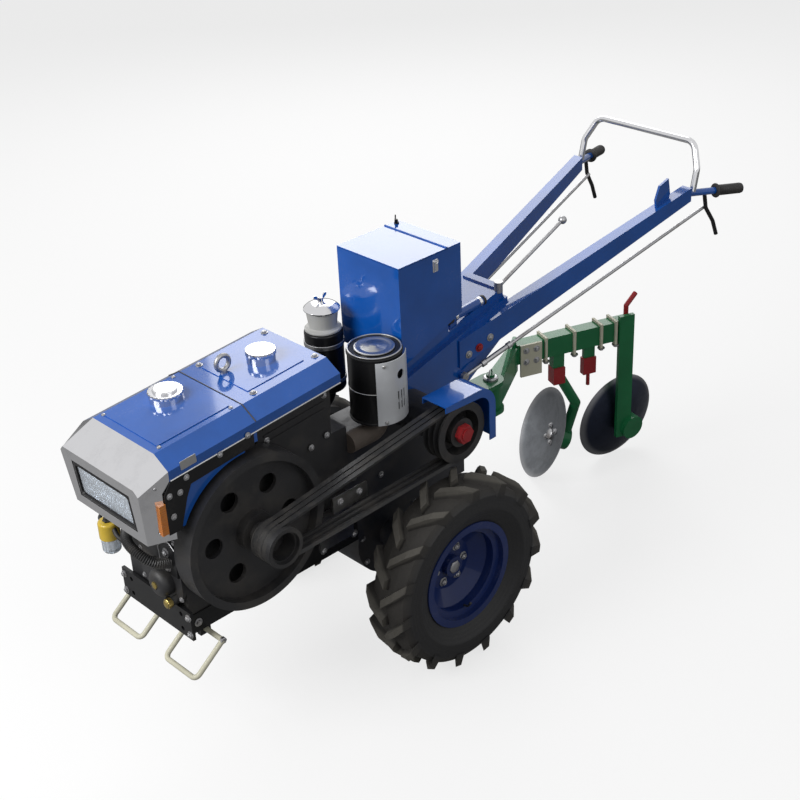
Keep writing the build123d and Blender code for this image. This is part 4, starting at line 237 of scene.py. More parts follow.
def plating(name, colour=BRIGHT, rough=0.1):
    """Bright plating with water marks and faint pitting."""
    f = Finish(name)
    mark = f.band(f.noise(14.0, 5.0, 0.62), 0.5, 0.72)
    pit = f.band(f.noise(700.0, 2.0, 0.5), 0.68, 0.8)
    wave = f.noise(7.0, 1.0)
    base = f.blend(mark * 0.25 + pit * 0.4, tone(colour), tone(colour, 0.6))
    return f.set(
        Base_Color=base, Metallic=1.0, Roughness=mark * 0.12 + pit * 0.3 + rough,
        Normal=f.bump(wave, 0.0006, 0.4),
    )


def bare_steel(name):
    """Bare steel: brushed streaks along the ground's plane, dull stains and a little rust film."""
    f = Finish(name)
    stretched = f.node("ShaderNodeMapping", {}, {"Vector": f.place, "Scale": (60.0, 60.0, 700.0)})
    lines = f.noise(1.0, 3.0, 0.6, stretched)
    stain = f.band(f.noise(18.0, 5.0, 0.6), 0.5, 0.75)
    base = f.blend(lines, tone(STEEL, 0.75), tone(STEEL, 1.15))
    base = f.blend(stain * 0.35, base, tone(RUST_FILM))
    return f.set(
        Base_Color=base, Metallic=1.0 - stain * 0.35, Roughness=0.34 + stain * 0.25 + lines * 0.08,
        Normal=f.bump(lines, 0.00012),
    )


def rubber(name, colour, rough, dust):
    """Moulded rubber: fine skin and a bloom of dust."""
    f = Finish(name)
    skin = f.noise(900.0, 2.0)
    bloom = f.band(f.noise(16.0, 5.0, 0.6), 0.42, 0.72)
    base = f.blend(bloom * dust, tone(colour), tone(DUST, 0.5))
    return f.set(Base_Color=base, Roughness=rough + bloom * 0.15, Normal=f.bump(skin, 0.0001))


def radius_from(f, centre_x, centre_z):
    """Distance of a point from a line along Y: the root of (x - centre_x)^2 + (z - centre_z)^2."""
    x = f.axis("X") - centre_x
    z = f.axis("Z") - centre_z
    return (x * x + z * z) ** 0.5


def tyre_rubber(name):
    """Tread rubber: lug tops and tread grey with dry earth, sidewalls black with moulded rings."""
    f = Finish(name)
    lowest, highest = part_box("tyre_left")
    r = radius_from(f, (lowest[0] + highest[0]) / 2, (lowest[2] + highest[2]) / 2)
    soil = f.band(r, SIDEWALL_END, TREAD_START)
    lug_top = f.band(r, LUG_SHOULDER, LUG_TOP)
    lump = f.noise(40.0, 6.0, 0.65)
    grain = f.noise(480.0, 3.0, 0.6)
    film = soil * (lump * 0.6 + 0.35)
    base = f.blend(film, tone(SIDEWALL_BLACK), tone(TREAD_SOIL))
    base = f.blend(lug_top * (lump * 0.5 + 0.5), base, tone(LUG_EARTH))
    base = f.blend(f.band(grain, 0.6, 0.8) * 0.3, base, tone(SAND_GRAIN))
    rings = f.wave(r, 520.0) * (1.0 - soil)
    return f.set(
        Base_Color=base, Roughness=0.62 + soil * 0.2 - grain * 0.08,
        Normal=f.bump(lump * 0.5 + grain * 0.3 + rings * 0.08, 0.0012),
    )


def lens_glass(name):
    """Pressed headlamp glass with upright flutes on its inner side."""
    f = Finish(name)
    flute = f.wave(f.axis("Y"), 700.0)
    film = f.band(f.noise(26.0, 5.0, 0.6), 0.45, 0.75)
    return f.set(
        Base_Color=f.blend(film * 0.3, tone(GLASS_CLEAR), tone(GLASS_FILMED)), Roughness=film * 0.1 + 0.12,
        Transmission_Weight=0.55, IOR=1.45, Normal=f.bump(flute, 0.0006, 0.6),
    )


def amber(name):
    """Moulded amber plastic with fine flutes."""
    f = Finish(name)
    flute = f.wave(f.axis("Z"), 900.0)
    shade = f.noise(30.0, 3.0)
    base = f.blend(shade, tone(AMBER_DEEP), tone(AMBER_PALE))
    return f.set(
        Base_Color=base, Roughness=0.18 + shade * 0.08, Coat_Weight=0.5, Normal=f.bump(flute, 0.0003),
    )


def disc_plate(name, node, colour, rough):
    """A turned plough disc: rings about its own middle, soil stains and a bright worn rim."""
    f = Finish(name)
    low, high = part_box(node)
    centre = [(a + b) / 2 for a, b in zip(low, high)]
    from_centre = f.node("ShaderNodeVectorMath", {"operation": "DISTANCE"}, {0: f.place, 1: centre}, "Value")
    rings = f.wave(from_centre, 2400.0)
    rim = f.band(from_centre, DISC_WORN_START, DISC_WORN_FULL)
    stain = f.band(f.noise(14.0, 6.0, 0.65), 0.4, 0.75)
    base = f.blend(stain, tone(colour, 1.1), tone(colour, 0.72))
    base = f.blend(rim * 0.5, base, tone(DISC_RIM))
    return f.set(
        Base_Color=base, Metallic=0.75, Roughness=rough + stain * 0.15,
        Normal=f.bump(rings * 0.5 + stain, 0.0002),
    )


blue_paint = paint("blue_enamel", BLUE)
# The rims' enamel carries painted shade: the blue paint at about a third of its brightness
rim_paint_in_painted_shade = paint("rim_enamel_painted_shade", BLUE_IN_PAINTED_SHADE, 0.3, 0.6, 0.3)
green_paint = paint("green_enamel", GREEN, 0.3, 0.4, 0.3)
black_paint = paint("black_enamel", BLACK, 0.35, 0.4, 0.2)
cream_paint = paint("cream_enamel", CREAM, 0.4, 0.5, 0.1)
red_paint = paint("red_enamel", RED, 0.35, 0.4, 0.3)
black_casting = casting("black_casting", IRON)
gear_casting = casting("gear_casting", GEARBOX_GREY)
pipe_casting = casting("exhaust_iron", EXHAUST_BROWN, 0.65, 0.0006)
chrome = plating("bright_plating")
dull_plating = plating("dull_plating", DULL, 0.28)
bowl_metal = paint("bowl_enamel", BOWL_GREY, 0.3, 0.4, 0.4)
brass_plating = plating("worn_brass", BRASS, 0.3)
white_shield = paint("shield_enamel", SHIELD_WHITE, 0.3, 0.3, 0.5)
steel = bare_steel("brushed_steel")
dark_core = casting("radiator_core", CORE_BLACK, 0.6)
belt_rubber = rubber("belt_rubber", BELT_BLACK, 0.42, 0.4)
grip_rubber = rubber("grip_rubber", GRIP_BLACK, 0.5, 0.2)
tread_rubber = tyre_rubber("tread_rubber")
clear_glass = lens_glass("fluted_glass")
amber_lens = amber("amber_plastic")
yellow_plastic = paint("yellow_filter_body", FILTER_YELLOW, 0.3, 0.3, 0.5)
front_disc_steel = disc_plate("front_disc_steel", "disc_front", DISC_GREY, 0.34)
rear_disc_steel = disc_plate("rear_disc_steel", "disc_rear", DISC_DARK, 0.35)

NODE_FINISH = {
    "frame_rails": black_paint, "front_cross_plate": black_paint, "engine_block": black_casting,
    "cylinder_head": black_casting, "radiator_hood": blue_paint, "radiator_core": dark_core,
    "fuel_tank": blue_paint, "side_panels": blue_paint, "headlamp_shroud": chrome,
    "headlamp_lens": clear_glass, "marker_lamps": amber_lens, "filler_caps": chrome, "lifting_eye": steel,
    "exhaust_elbow": pipe_casting,
    "muffler": black_paint, "muffler_shield": white_shield, "air_cleaner": black_paint, "pre_cleaner": chrome,
    "fuel_filter": yellow_plastic, "gearbox": gear_casting, "handle_frame": blue_paint, "toolbox": blue_paint,
    "toolbox_lid": blue_paint, "handlebar_left": blue_paint, "handlebar_right": blue_paint,
    "handle_grips": grip_rubber, "chrome_bar": chrome, "gear_lever": steel, "clutch_lever": blue_paint,
    "steering_levers": black_paint, "pull_rods": steel, "v_belts": belt_rubber, "flywheel": black_casting,
    "engine_pulley": black_casting, "clutch_pulley": black_casting, "belt_guard": blue_paint,
    "tyre_left": tread_rubber, "tyre_right": tread_rubber, "wheel_left": rim_paint_in_painted_shade, "wheel_right": rim_paint_in_painted_shade,
    "hitch_bracket": green_paint, "hitch_neck": green_paint, "plough_beam": green_paint,
    "plough_post_front": green_paint, "plough_post_rear": green_paint, "beam_clamps": cream_paint,
    "disc_front": front_disc_steel, "disc_rear": rear_disc_steel, "front_stand": cream_paint,
    "pulley_cap": red_paint, "side_brackets": black_paint, "filter_bowl": clear_glass, "scrapers": red_paint,
    "depth_handle": red_paint, "tension_plate": dull_plating, "engine_covers": black_casting,
}
for node_name, node_object in NODES.items():
    node_object.data.materials.clear()
    node_object.data.materials.append(NODE_FINISH[node_name])

# Units, directions and limits of the small pieces
MM_PER_METRE = 1000.0
ROW_SHIFT = 274.5
SHARP_ANGLE = 0.6
LEAST_RADIUS = 0.01
UPRIGHT = 0.9
TUBE_START = (0.3, 0.5, 0.81)
HOSE_RIPPLE = 0.12
BOTH = (1, -1)
LEFT, RIGHT = (0, 1, 0), (0, -1, 0)
TOP, DOWN = (0, 0, 1), (0, 0, -1)
FORWARD, BACKWARD = (1, 0, 0), (-1, 0, 0)

# Fixings: radius and height in shares of the width across the corners, or of a screw's radius
WASHER_RADIUS, WASHER_RIM, WASHER_THICK, WASHER_SINK, WASHER_CHAMFER = 0.72, 0.68, 0.1, 1.0, 0.3
BOLT_HEAD = ((0.5, 0), (0.5, 0.38), (0.43, 0.46))
BOLT_STUD = ((0.24, 0), (0.24, 0.5), (0.2, 0.54))
SCREW_DOME = ((1, 0.3), (0.8, 0.6), (0.4, 0.75))
SCREW_SINK = 0.5


def unit(vector):
    """A vector divided by its own length."""
    vector = np.asarray(vector, float)
    return vector / np.linalg.norm(vector)


def turn_steps(sides):
    """Angles in equal steps round one turn, as a column."""
    return np.linspace(0, 2 * np.pi, sides, endpoint=False)[:, None]


def scaled(profile, size):
    """A profile of shares multiplied by a size."""
    return [(size * radius, size * height) for radius, height in profile]


class Shape:
    """Closed surfaces of one piece, in millimetres forward, left and up from the ground below the axle."""

    def __init__(self):
        self.points = np.empty((0, 3))
        self.faces = []

    def rows(self, grid, loop=False):
        """Quads between the rings of a grid; the first and last ring are capped unless the rings loop.

        Each quad joins the corners (i, j), (i, j + 1), (i + 1, j + 1) and (i + 1, j) of ring i and place j.
        """
        grid = np.asarray(grid, float)
        corner = len(self.points) + np.arange(grid[..., 0].size).reshape(grid.shape[:2])
        self.points = np.vstack([self.points, grid.reshape(-1, 3)])
        near = corner if loop else corner[:-1]
        far = np.roll(corner, -1, axis=0)[:len(near)]
        quads = np.stack([near, np.roll(near, -1, axis=1), np.roll(far, -1, axis=1), far], axis=-1)
        self.faces += quads.reshape(-1, 4).tolist()
        if not loop:
            self.faces += [corner[0, ::-1].tolist(), corner[-1].tolist()]

    def lathe(self, place, axis, profile, sides=20, waves=0, depth=0.0):
        """Rings about an axis: point = place + h*axis + r*(cos t*u + sin t*v), for a profile's (r, h).

        The radius r is made less by up to the depth's share at each of the waves round the turn.
        """
        w = unit(axis)
        u = unit(np.cross(w, TOP if abs(w[2]) < UPRIGHT else FORWARD))
        v = np.cross(w, u)
        t = turn_steps(sides)
        ring = np.cos(t) * u + np.sin(t) * v
        swell = 1.0 - depth * (0.5 - 0.5 * np.cos(waves * t))
        r, h = np.array(profile, float).T[:, :, None, None]
        self.rows(np.asarray(place, float) + h * w + np.maximum(r, LEAST_RADIUS) * swell * ring)

    def prism(self, outline, place, across, up, depth, bevel=1.0):
        """An outline pushed out along across x up: point = place + x*across + y*up + height*out.

        Its outer edge is bevelled: the last ring is the outline drawn in towards its middle.
        """
        a = unit(across)
        b = np.asarray(up, float)
        b = unit(b - a * a.dot(b))
        out = np.cross(a, b)
        flat = np.asarray(outline, float)
        middle = flat.mean(axis=0)
        inset = middle + (flat - middle) * (1 - bevel / np.abs(flat - middle).max())
        shapes = np.stack([flat, flat, inset])
        heights = np.array((0.0, depth - bevel, depth))[:, None, None]
        self.rows(np.asarray(place, float) + shapes[..., :1] * a + shapes[..., 1:] * b + heights * out)

    def tube(self, path, radius, sides=12, loop=False, ripple=0.0):
        """A round bar along a path: point = path + r*(cos t*u + sin t*v), with u and v square to the path.

        Each u is the one before, made square to the path again, so that the rings don't twist. The radius r
        is larger and smaller by the ripple's share on every other ring.
        """
        path = np.asarray(path, float)
        ahead = np.roll(path, -1, axis=0) - np.roll(path, 1, axis=0)
        if not loop:
            ahead[0] = path[1] - path[0]
            ahead[-1] = path[-1] - path[-2]
        ahead /= np.linalg.norm(ahead, axis=1)[:, None]
        carried = np.cross(ahead[0], TUBE_START)
        square = []
        for w in ahead:
            carried = unit(carried - w * w.dot(carried))
            square.append(carried)
        u = np.array(square)[:, None]
        v = np.cross(ahead[:, None], u)
        r = radius * (1.0 + ripple * np.cos(np.pi * np.arange(len(path))))[:, None, None]
        t = turn_steps(sides)
        self.rows(path[:, None] + r * (np.cos(t) * u + np.sin(t) * v), loop)

    def bolt(self, place, axis, size):
        """A round washer, a chamfered hexagon head and a stud's end; size is the width across corners."""
        w = unit(axis)
        thick = WASHER_SINK + size * WASHER_THICK
        washer = [
            (size * WASHER_RADIUS, 0), (size * WASHER_RADIUS, thick),
            (size * WASHER_RIM, thick + WASHER_CHAMFER),
        ]
        self.lathe(np.asarray(place) - WASHER_SINK * w, w, washer, 18)
        self.lathe(place, w, scaled(BOLT_HEAD, size), 6)
        self.lathe(place, w, scaled(BOLT_STUD, size), 12)

    def bolts(self, places, axis, size):
        """A bolt at each place, all along one axis."""
        for place in places:
            self.bolt(place, axis, size)

    def side_bolts(self, spots, y, size):
        """Bolts on both sides of the machine: each spot is a station and a height, set out sideways to y."""
        for side in BOTH:
            self.bolts([(x, side * y, z) for x, z in spots], (0, side, 0), size)

    def screw(self, place, axis, radius):
        """A domed screw head without a slot: rings that grow narrower as they rise."""
        self.lathe(place, axis, [(radius, -SCREW_SINK)] + scaled(SCREW_DOME, radius), 16)

    def make(self, name, material, body="chassis"):
        """The finished object at the origin, with its faces outward, riding on its body."""
        mesh = bpy.data.meshes.new(name)
        points = self.points / MM_PER_METRE
        points[:, 0] += ROW_SHIFT / MM_PER_METRE
        mesh.from_pydata(points.tolist(), [], self.faces)
        work = bmesh.new()
        work.from_mesh(mesh)
        bmesh.ops.recalc_face_normals(work, faces=work.faces)
        work.to_mesh(mesh)
        work.free()
        mesh.shade_smooth()
        mesh.set_sharp_from_angle(angle=SHARP_ANGLE)
        mesh.materials.append(material)
        piece = bpy.data.objects.new(name, mesh)
        bpy.context.collection.objects.link(piece)
        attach(piece, body)
        return piece


def node_box(node):
    """Lowest and highest corner of a node in millimetres from the ground below the axle."""
    low, high = (np.array(corner) * MM_PER_METRE - (ROW_SHIFT, 0, 0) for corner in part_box(node))
    return low, high


def arc(centre, u, v, radius, start, end, count=12):
    """Points of a circle's arc: centre + radius*(cos t*u + sin t*v), with t from start to end in degrees."""
    centre, u, v = (np.array(vector, float) for vector in (centre, u, v))
    t = np.radians(np.linspace(start, end, count))[:, None]
    return centre + radius * (np.cos(t) * u + np.sin(t) * v)


def full_circle(centre, u, v, radius, count):
    """A closed circle's points, for a tube that loops: the arc over 360 degrees without its last point."""
    return arc(centre, u, v, radius, 0, 360, count + 1)[:-1]


def bolt_circle(x, z, radius, degrees):
    """Stations and heights round a middle: (x + radius*cos t, z + radius*sin t)."""
    t = np.radians(degrees)
    return np.column_stack([x + radius * np.cos(t), z + radius * np.sin(t)])


def smooth_path(points, count=60):
    """A soft line through points, a cubic for each stretch with end slopes of half its neighbours' step.

    With p1 and p2 as a stretch's ends and p0 and p3 as the points beside them, the point at share t is
    (2*p1 + (p2 - p0)*t + (2*p0 - 5*p1 + 4*p2 - p3)*t^2 + (3*p1 - p0 - 3*p2 + p3)*t^3) / 2.
    """
    points = np.asarray(points, float)
    stretches = len(points) - 1
    ends = np.vstack([2 * points[0] - points[1], points, 2 * points[-1] - points[-2]])
    t = np.linspace(0, 1, max(2, count // stretches), endpoint=False)[:, None]
    p0, p1, p2, p3 = (ends[first:first + stretches, None] for first in range(4))
    bend = (2 * p0 - 5 * p1 + 4 * p2 - p3) * t ** 2 + (3 * p1 - p0 - 3 * p2 + p3) * t ** 3
    line = 0.5 * (2 * p1 + (p2 - p0) * t + bend)
    return np.vstack([line.reshape(-1, points.shape[1]), points[-1:]])


def rounded(half_width, half_height, radius, count=6):
    """A rectangle's outline with round corners: quarter circles about four middles set in by the radius."""
    t = np.radians(np.linspace(0, 90, count) + 90 * np.arange(4)[:, None])
    corner = np.array(((1, 1), (-1, 1), (-1, -1), (1, -1)))[:, None]
    middle = corner * (half_width - radius, half_height - radius)
    return (middle + radius * np.stack([np.cos(t), np.sin(t)], axis=-1)).reshape(-1, 2)


def leaves(piece, leaf, place, across, depth):
    """Two wing leaves, the second with its outline mirrored and its order turned round."""
    for side in BOTH:
        piece.prism([(side * a, b) for a, b in leaf][::side], place, across, TOP, depth, 1)


# Hood's top: a line through one known point, with its fall to the mm forward
HOOD_TOP_X, HOOD_TOP_Z, HOOD_FALL = 864.0, 1030.0, 0.0783
HOOD_TOP_NORMAL = (0.078, 0, 1)


def hood_top(x):
    """Height of the hood's and tank's flat top at a station: height + fall*(station of that height - x)."""
    return HOOD_TOP_Z + HOOD_FALL * (HOOD_TOP_X - x)


# Headlamp's window: its middle and its own directions
WINDOW_MIDDLE = np.array((947.5, 0.0, 880.5))
WINDOW_OUT = np.array((0.9956, 0.0, -0.0935))
WINDOW_UP = np.array((0.0935, 0.0, 0.9956))

# Headlamp's rings: half width, half height, corner radius and distance outward
BEZEL_RINGS = (
    (134.5, 58.5, 12, -12), (134.5, 58.5, 12, -1.5), (133, 57, 12, -0.4),
    (124, 48, 9, -0.4), (122.5, 46.5, 9, -3), (122.5, 46.5, 9, -12),
)
GLASS_RINGS = ((123.5, 47.5, 9, -9.5), (123.5, 47.5, 9, -6.5), (110, 38, 8, -4.2), (60, 20, 6, -3.2))
REFLECTOR_CORNER = 9
REFLECTOR_STEPS = 9
BULB_SEATING = -60
BULB_HOLDER = ((32, 0), (32, 3), (12, 5), (12, 16), (9, 24), (4, 28))
NOSE_SCREWS = ((905, 189, 962), (905, 185, 822), (890, 191, 900))


def window_point(y, up, out):
    """A point set from the window's middle: middle + y*left + up*window's up + out*window's outward."""
    return WINDOW_MIDDLE + y * np.array(LEFT) + up * WINDOW_UP + out * WINDOW_OUT


def window_ring(half_width, half_height, radius, out):
    """A rectangle with round corners in the window's plane, moved outward."""
    y, up = rounded(half_width, half_height, radius).T[:, :, None]
    return window_point(y, up, out)


def reflector_rings(mouth, shrink, start, depth, shares):
    """The reflector's wall: half sizes mouth - shrink*share^1.6, at start - depth*share^0.6 outward."""
    return [
        window_ring(
            mouth[0] - shrink[0] * share ** 1.6, mouth[1] - shrink[1] * share ** 1.6, REFLECTOR_CORNER,
            start - depth * share ** 0.6,
        )
        for share in shares
    ]


bezel = Shape()
bezel.rows([window_ring(*ring) for ring in BEZEL_RINGS], loop=True)
bezel.make("lamp_bezel", black_paint)
glass = Shape()
glass.rows([window_ring(*ring) for ring in GLASS_RINGS])
glass_piece = glass.make("lamp_glass", clear_glass)
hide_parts("headlamp_lens")
reflector = Shape()
shares = np.linspace(0, 1, REFLECTOR_STEPS)
inner_wall = reflector_rings((122, 46), (88, 24), -11, 46, shares)
outer_wall = reflector_rings((124, 48), (86, 22), -12, 48, shares[::-1])
reflector.rows(inner_wall + outer_wall, loop=True)
reflector.lathe(window_point(0, 0, BULB_SEATING), WINDOW_OUT, BULB_HOLDER, 20)
reflector.make("lamp_reflector", chrome)
nose_screws = Shape()
for side in BOTH:
    for x, y, z in NOSE_SCREWS:
        nose_screws.screw((x, side * y, z), (0.1, side, 0), 5)
nose_screws.make("nose_screws", steel)

# Hood and tank: stations and sideways places on the top, stations and heights on the sides
TANK_TOP_BOLTS = ((281, 112), (281, -112), (514, 122), (514, -122))
HOOD_TOP_SCREWS = ((600, 130), (600, -130), (838, 128), (838, -128))
HOOD_SIDE_BOLTS = ((813, 960), (700, 978), (604, 994), (872, 928), (867, 863), (838, 925))
HOOD_SIDE_Y = 200
TRIM_Y, TRIM_DROP, TRIM_ENDS, TRIM_RADIUS = 197.4, 61.0, (266, 862), 2.6
SEAL_X, SEAL_RADIUS, SEAL_RISE, SEAL_FLAT_Y = 570.5, 1.8, 0.4, 139
SEAL_SLOPE_Y, SEAL_SLOPE_WIDTH, SEAL_SLOPE_DROP = 141, 56, 32
RADIATOR_CAP, TANK_CAP = (681, -53), (387, 3)
RADIATOR_CAP_RIM = ((49.5, 0), (50.5, 3), (50.5, 8), (49.5, 10.5), (46, 10.6))
TANK_CAP_RIM = ((43.5, 0), (44.5, 3), (44.5, 12), (43.5, 14.5), (30, 15))
TANK_CAP_KNOB = ((24, 0), (22, 6), (10, 8))
CAP_FLUTES, CAP_FLUTE_DEPTH = 24, 0.05

top_bolts = Shape()
for x, y in TANK_TOP_BOLTS:
    top_bolts.bolt((x, y, hood_top(x) + 0.2), HOOD_TOP_NORMAL, 15)
for x, y in HOOD_TOP_SCREWS:
    top_bolts.screw((x, y, hood_top(x)), HOOD_TOP_NORMAL, 6)
top_bolts.side_bolts(HOOD_SIDE_BOLTS, HOOD_SIDE_Y, 13)
top_bolts.make("hood_bolts", steel)
trim = Shape()
for side in BOTH:
    line = [(x, side * TRIM_Y, hood_top(x) - TRIM_DROP) for x in np.linspace(*TRIM_ENDS, 24)]
    trim.tube(line, TRIM_RADIUS, 8)
trim.make("hood_trim", dull_plating)
seal = Shape()
seal_z = hood_top(SEAL_X) + SEAL_RISE
seal.tube([(SEAL_X, y, seal_z) for y in np.linspace(-SEAL_FLAT_Y, SEAL_FLAT_Y, 20)], SEAL_RADIUS, 8)
for side in BOTH:
    seal.tube([
        (SEAL_X, side * (SEAL_SLOPE_Y + SEAL_SLOPE_WIDTH * share), seal_z - SEAL_SLOPE_DROP * share)
        for share in np.linspace(0, 1, 8)
    ], SEAL_RADIUS, 8)
seal.make("tank_seal", grip_rubber)
caps = Shape()
for (x, y), rise, rim in ((RADIATOR_CAP, 18, RADIATOR_CAP_RIM), (TANK_CAP, 22, TANK_CAP_RIM)):
    caps.lathe((x, y, hood_top(x) + rise), TOP, rim, 96, CAP_FLUTES, CAP_FLUTE_DEPTH)
caps.lathe((*TANK_CAP, hood_top(TANK_CAP[0]) + 30), TOP, TANK_CAP_KNOB, 40)
caps.make("cap_grips", chrome)

# Bolts of the engine, rails and gearbox
SIDE_PANEL_BOLTS = ((284, 962), (284, 830), (500, 908), (345, 815))
RAIL_BOLTS = ((206, 446), (206, 500), (800, 446), (560, 446), (330, 446))
GEARBOX_BOLTS = ((-300, 560), (-210, 560), (40, 560), (150, 600))
GEAR_COVER_Y = -154
AXLE_Z = 320

covers = Shape()
covers.bolts([(x, 142, z) for x, z in SIDE_PANEL_BOLTS], LEFT, 14)
covers.bolts([(x, side * 121, 477) for x in (300, 790) for side in BOTH], TOP, 20)
covers.side_bolts(RAIL_BOLTS, 140, 18)
covers.bolts([(840, side * 155, z) for side in BOTH for z in (433, 490)], FORWARD, 16)
covers.bolts([(834, y, z) for y in (-50, 126) for z in (536, 630, 726)], FORWARD, 12)
for spots in (
    bolt_circle(617, 697, 134, np.arange(20, 380, 40)), bolt_circle(692, 622, 104, np.arange(-80, 20, 32)),
):
    covers.bolts([(x, GEAR_COVER_Y, z) for x, z in spots], RIGHT, 13)
covers.bolts([(190, y, z) for y in (-88, -30, 30, 88) for z in (620, 790)], BACKWARD, 18)
covers.side_bolts(bolt_circle(0, AXLE_Z, 124, np.arange(15, 375, 45)), 78, 15)
covers.side_bolts(GEARBOX_BOLTS, 92, 15)
covers.make("engine_bolts", steel)

# Fuel lines and oil stick on the engine's right side
PUMP_DELIVERY = ((13, 0), (13, 10), (9, 12), (9, 26), (6, 28), (6, 34))
PUMP_PLUG = ((10, 0), (10, 14), (7, 16), (7, 24))
LINE_NUT = ((11, 0), (11, 14), (8, 15))
OIL_STICK_KNOB = ((8, 0), (9, 3), (9, 18), (5, 22))
INJECTOR_LINE = (
    (410, -158, 800), (405, -158, 850), (360, -150, 872), (240, -146, 850), (180, -140, 790),
    (176, -110, 748), (188, -90, 740),
)
LEAK_LINE = (
    (350, -160, 790), (345, -165, 830), (500, -170, 850), (720, -160, 800), (840, -130, 740),
    (880, -120, 700),
)
OIL_STICK = ((760, -140, 530), (765, -158, 560), (766, -162, 640))

lines = Shape()
lines.lathe((410, -158, 767), TOP, PUMP_DELIVERY, 12)
lines.lathe((350, -160, 767), TOP, PUMP_PLUG, 6)
lines.tube(smooth_path(INJECTOR_LINE), 3.2, 8)
lines.tube(smooth_path(LEAK_LINE), 4.0, 8)
lines.lathe((176, -92, 740), FORWARD, LINE_NUT, 6)
lines.tube(smooth_path(OIL_STICK), 4.5, 8)
lines.lathe((766, -162, 636), TOP, OIL_STICK_KNOB, 20, 8, 0.1)
lines.make("fuel_lines", dull_plating)

# Hoses and fittings at the engine's front, with the filter's place taken from its own nodes
HOSE_PATH = (
    (832, -44, 738), (872, -36, 728), (906, 6, 716), (908, 58, 698), (884, 94, 672), (832, 104, 650),
)
FILTER_NUT = ((15, 0), (15, 5), (12, 7), (12, 12), (5, 14))
BRACKET_Y, BRACKET_Z = 94, 664
BRACKET_OUTLINE = ((-38, -52), (38, -52), (38, 42), (8, 58), (-38, 30))
BRACKET_EDGE = ((-38, -50), (-39, 0), (-37, 30), (8, 57), (38, 42))
DRAIN_CAP = ((14.6, -16), (15.4, -14), (15.4, -2), (12, 1.5), (6, 3))
DRAIN_PLUG = ((12, -2), (12, 3), (9, 4.5))

hose = Shape()
hose.tube(smooth_path(HOSE_PATH, 90), 14, 18, ripple=HOSE_RIPPLE)
hose.make("ribbed_hose", belt_rubber)
low, high = node_box("filter_bowl")
filter_top = node_box("fuel_filter")[1][2]
filter_x, filter_y = (low[:2] + high[:2]) / 2
stay = Shape()
stay.lathe((filter_x, filter_y, filter_top - 1), TOP, FILTER_NUT, 6)
stay.tube(smooth_path([
    (filter_x, filter_y - 25, filter_top - 14), (filter_x - 4, filter_y - 46, filter_top - 10),
    (850, filter_y - 48, filter_top + 10), (826, filter_y - 22, filter_top + 30),
]), 6, 12)
stay.tube(smooth_path([
    (filter_x, filter_y + 25, filter_top - 16), (filter_x + 4, filter_y + 52, filter_top - 30),
    (880, -12, 672), (856, 14, 640), (832, 22, 620),
]), 7, 12)
stay.make("filter_stay_and_hoses", grip_rubber)
front_bracket = Shape()
front_bracket.prism(BRACKET_OUTLINE, (833.5, BRACKET_Y, BRACKET_Z), LEFT, TOP, 7, 1.2)
front_bracket.make("front_bracket", black_paint)
bright_edge = Shape()
bright_edge.tube([(840, BRACKET_Y + a, BRACKET_Z + b) for a, b in smooth_path(BRACKET_EDGE, 40)], 2.2, 8)
bright_edge.bolt((840.5, 92, 684), FORWARD, 20)
bright_edge.bolt((840.5, 92, 632), FORWARD, 16)
bright_edge.make("front_bracket_edge", steel)
brass = Shape()
brass.lathe((871, 102, 528), FORWARD, DRAIN_CAP, 48, 12, 0.08)
brass.lathe((872, 58, 572), FORWARD, DRAIN_PLUG, 6)
brass.make("drain_cap", brass_plating)
plate = Shape()
plate.prism(rounded(26, 13, 3), (800, TRIM_Y, 1000), (-1, 0, 0.078), TOP, 1.4, 0.4)
plate.make("blank_plate", dull_plating)

# Pulley nut and guard fixings
CRANK_NUT_PLACE = (617, 259.5, 697)
GUARD_INNER_BOLTS = ((-190, 120, 668), (-190, 150, 668))
GUARD_OUTER_BOLTS = ((-217, 262, 704), (-217, 300, 704))
TENSION_PLATE_BOLTS = ((240, 220, 649), (315, 220, 649))

pulley_nut = Shape()
pulley_nut.bolt(CRANK_NUT_PLACE, LEFT, 44)
pulley_nut.make("crank_nut", steel, "flywheel")
guard_bolts = Shape()
guard_bolts.bolts(GUARD_INNER_BOLTS, FORWARD, 13)
guard_bolts.bolts(GUARD_OUTER_BOLTS, BACKWARD, 13)
guard_bolts.bolts(TENSION_PLATE_BOLTS, LEFT, 16)
guard_bolts.make("guard_bolts", steel)

# Silencer and air cleaner
SILENCER_X, SILENCER_Y = 64, 122
SILENCER_LID = (
    (61, 0), (61, 2), (58, 3.2), (50, 3.2), (47, 1.6), (38, 1.6), (35, 3.4), (16, 3.4), (12, 6), (3, 6.6),
)
SHIELD_RADIUS, SHIELD_FACING = 93, (0.438, 0.899, 0)
SILENCER_RINGS = ((1026, 79.5, 2.6), (908, 82.2, 1.5))
DUST_BOWL = (
    (30, 0.3), (55, 0.3), (57, 2), (57, 6), (55, 8.2), (46, 10), (43.4, 12.5), (43.6, 16), (49, 58), (50, 62),
    (48, 64), (40, 64.4),
)
DUST_LID = (
    (47, 63.5), (50, 64), (50, 66.5), (54.5, 67), (56.3, 68.5), (56.3, 71), (54, 73.5), (48, 79), (40, 83.4),
    (28, 86.8), (14, 88.6), (5, 89),
)
WING_POST = ((11, 0), (11, 3), (8, 4), (7, 14), (4, 16))
WING_LEAF = ((3, 1), (12, 3), (24, 12), (25, 20), (18, 21), (9, 12), (3, 11))
CLEANER_BAND = ((61.5, 0), (62.6, 1), (62.6, 13), (61.5, 14))

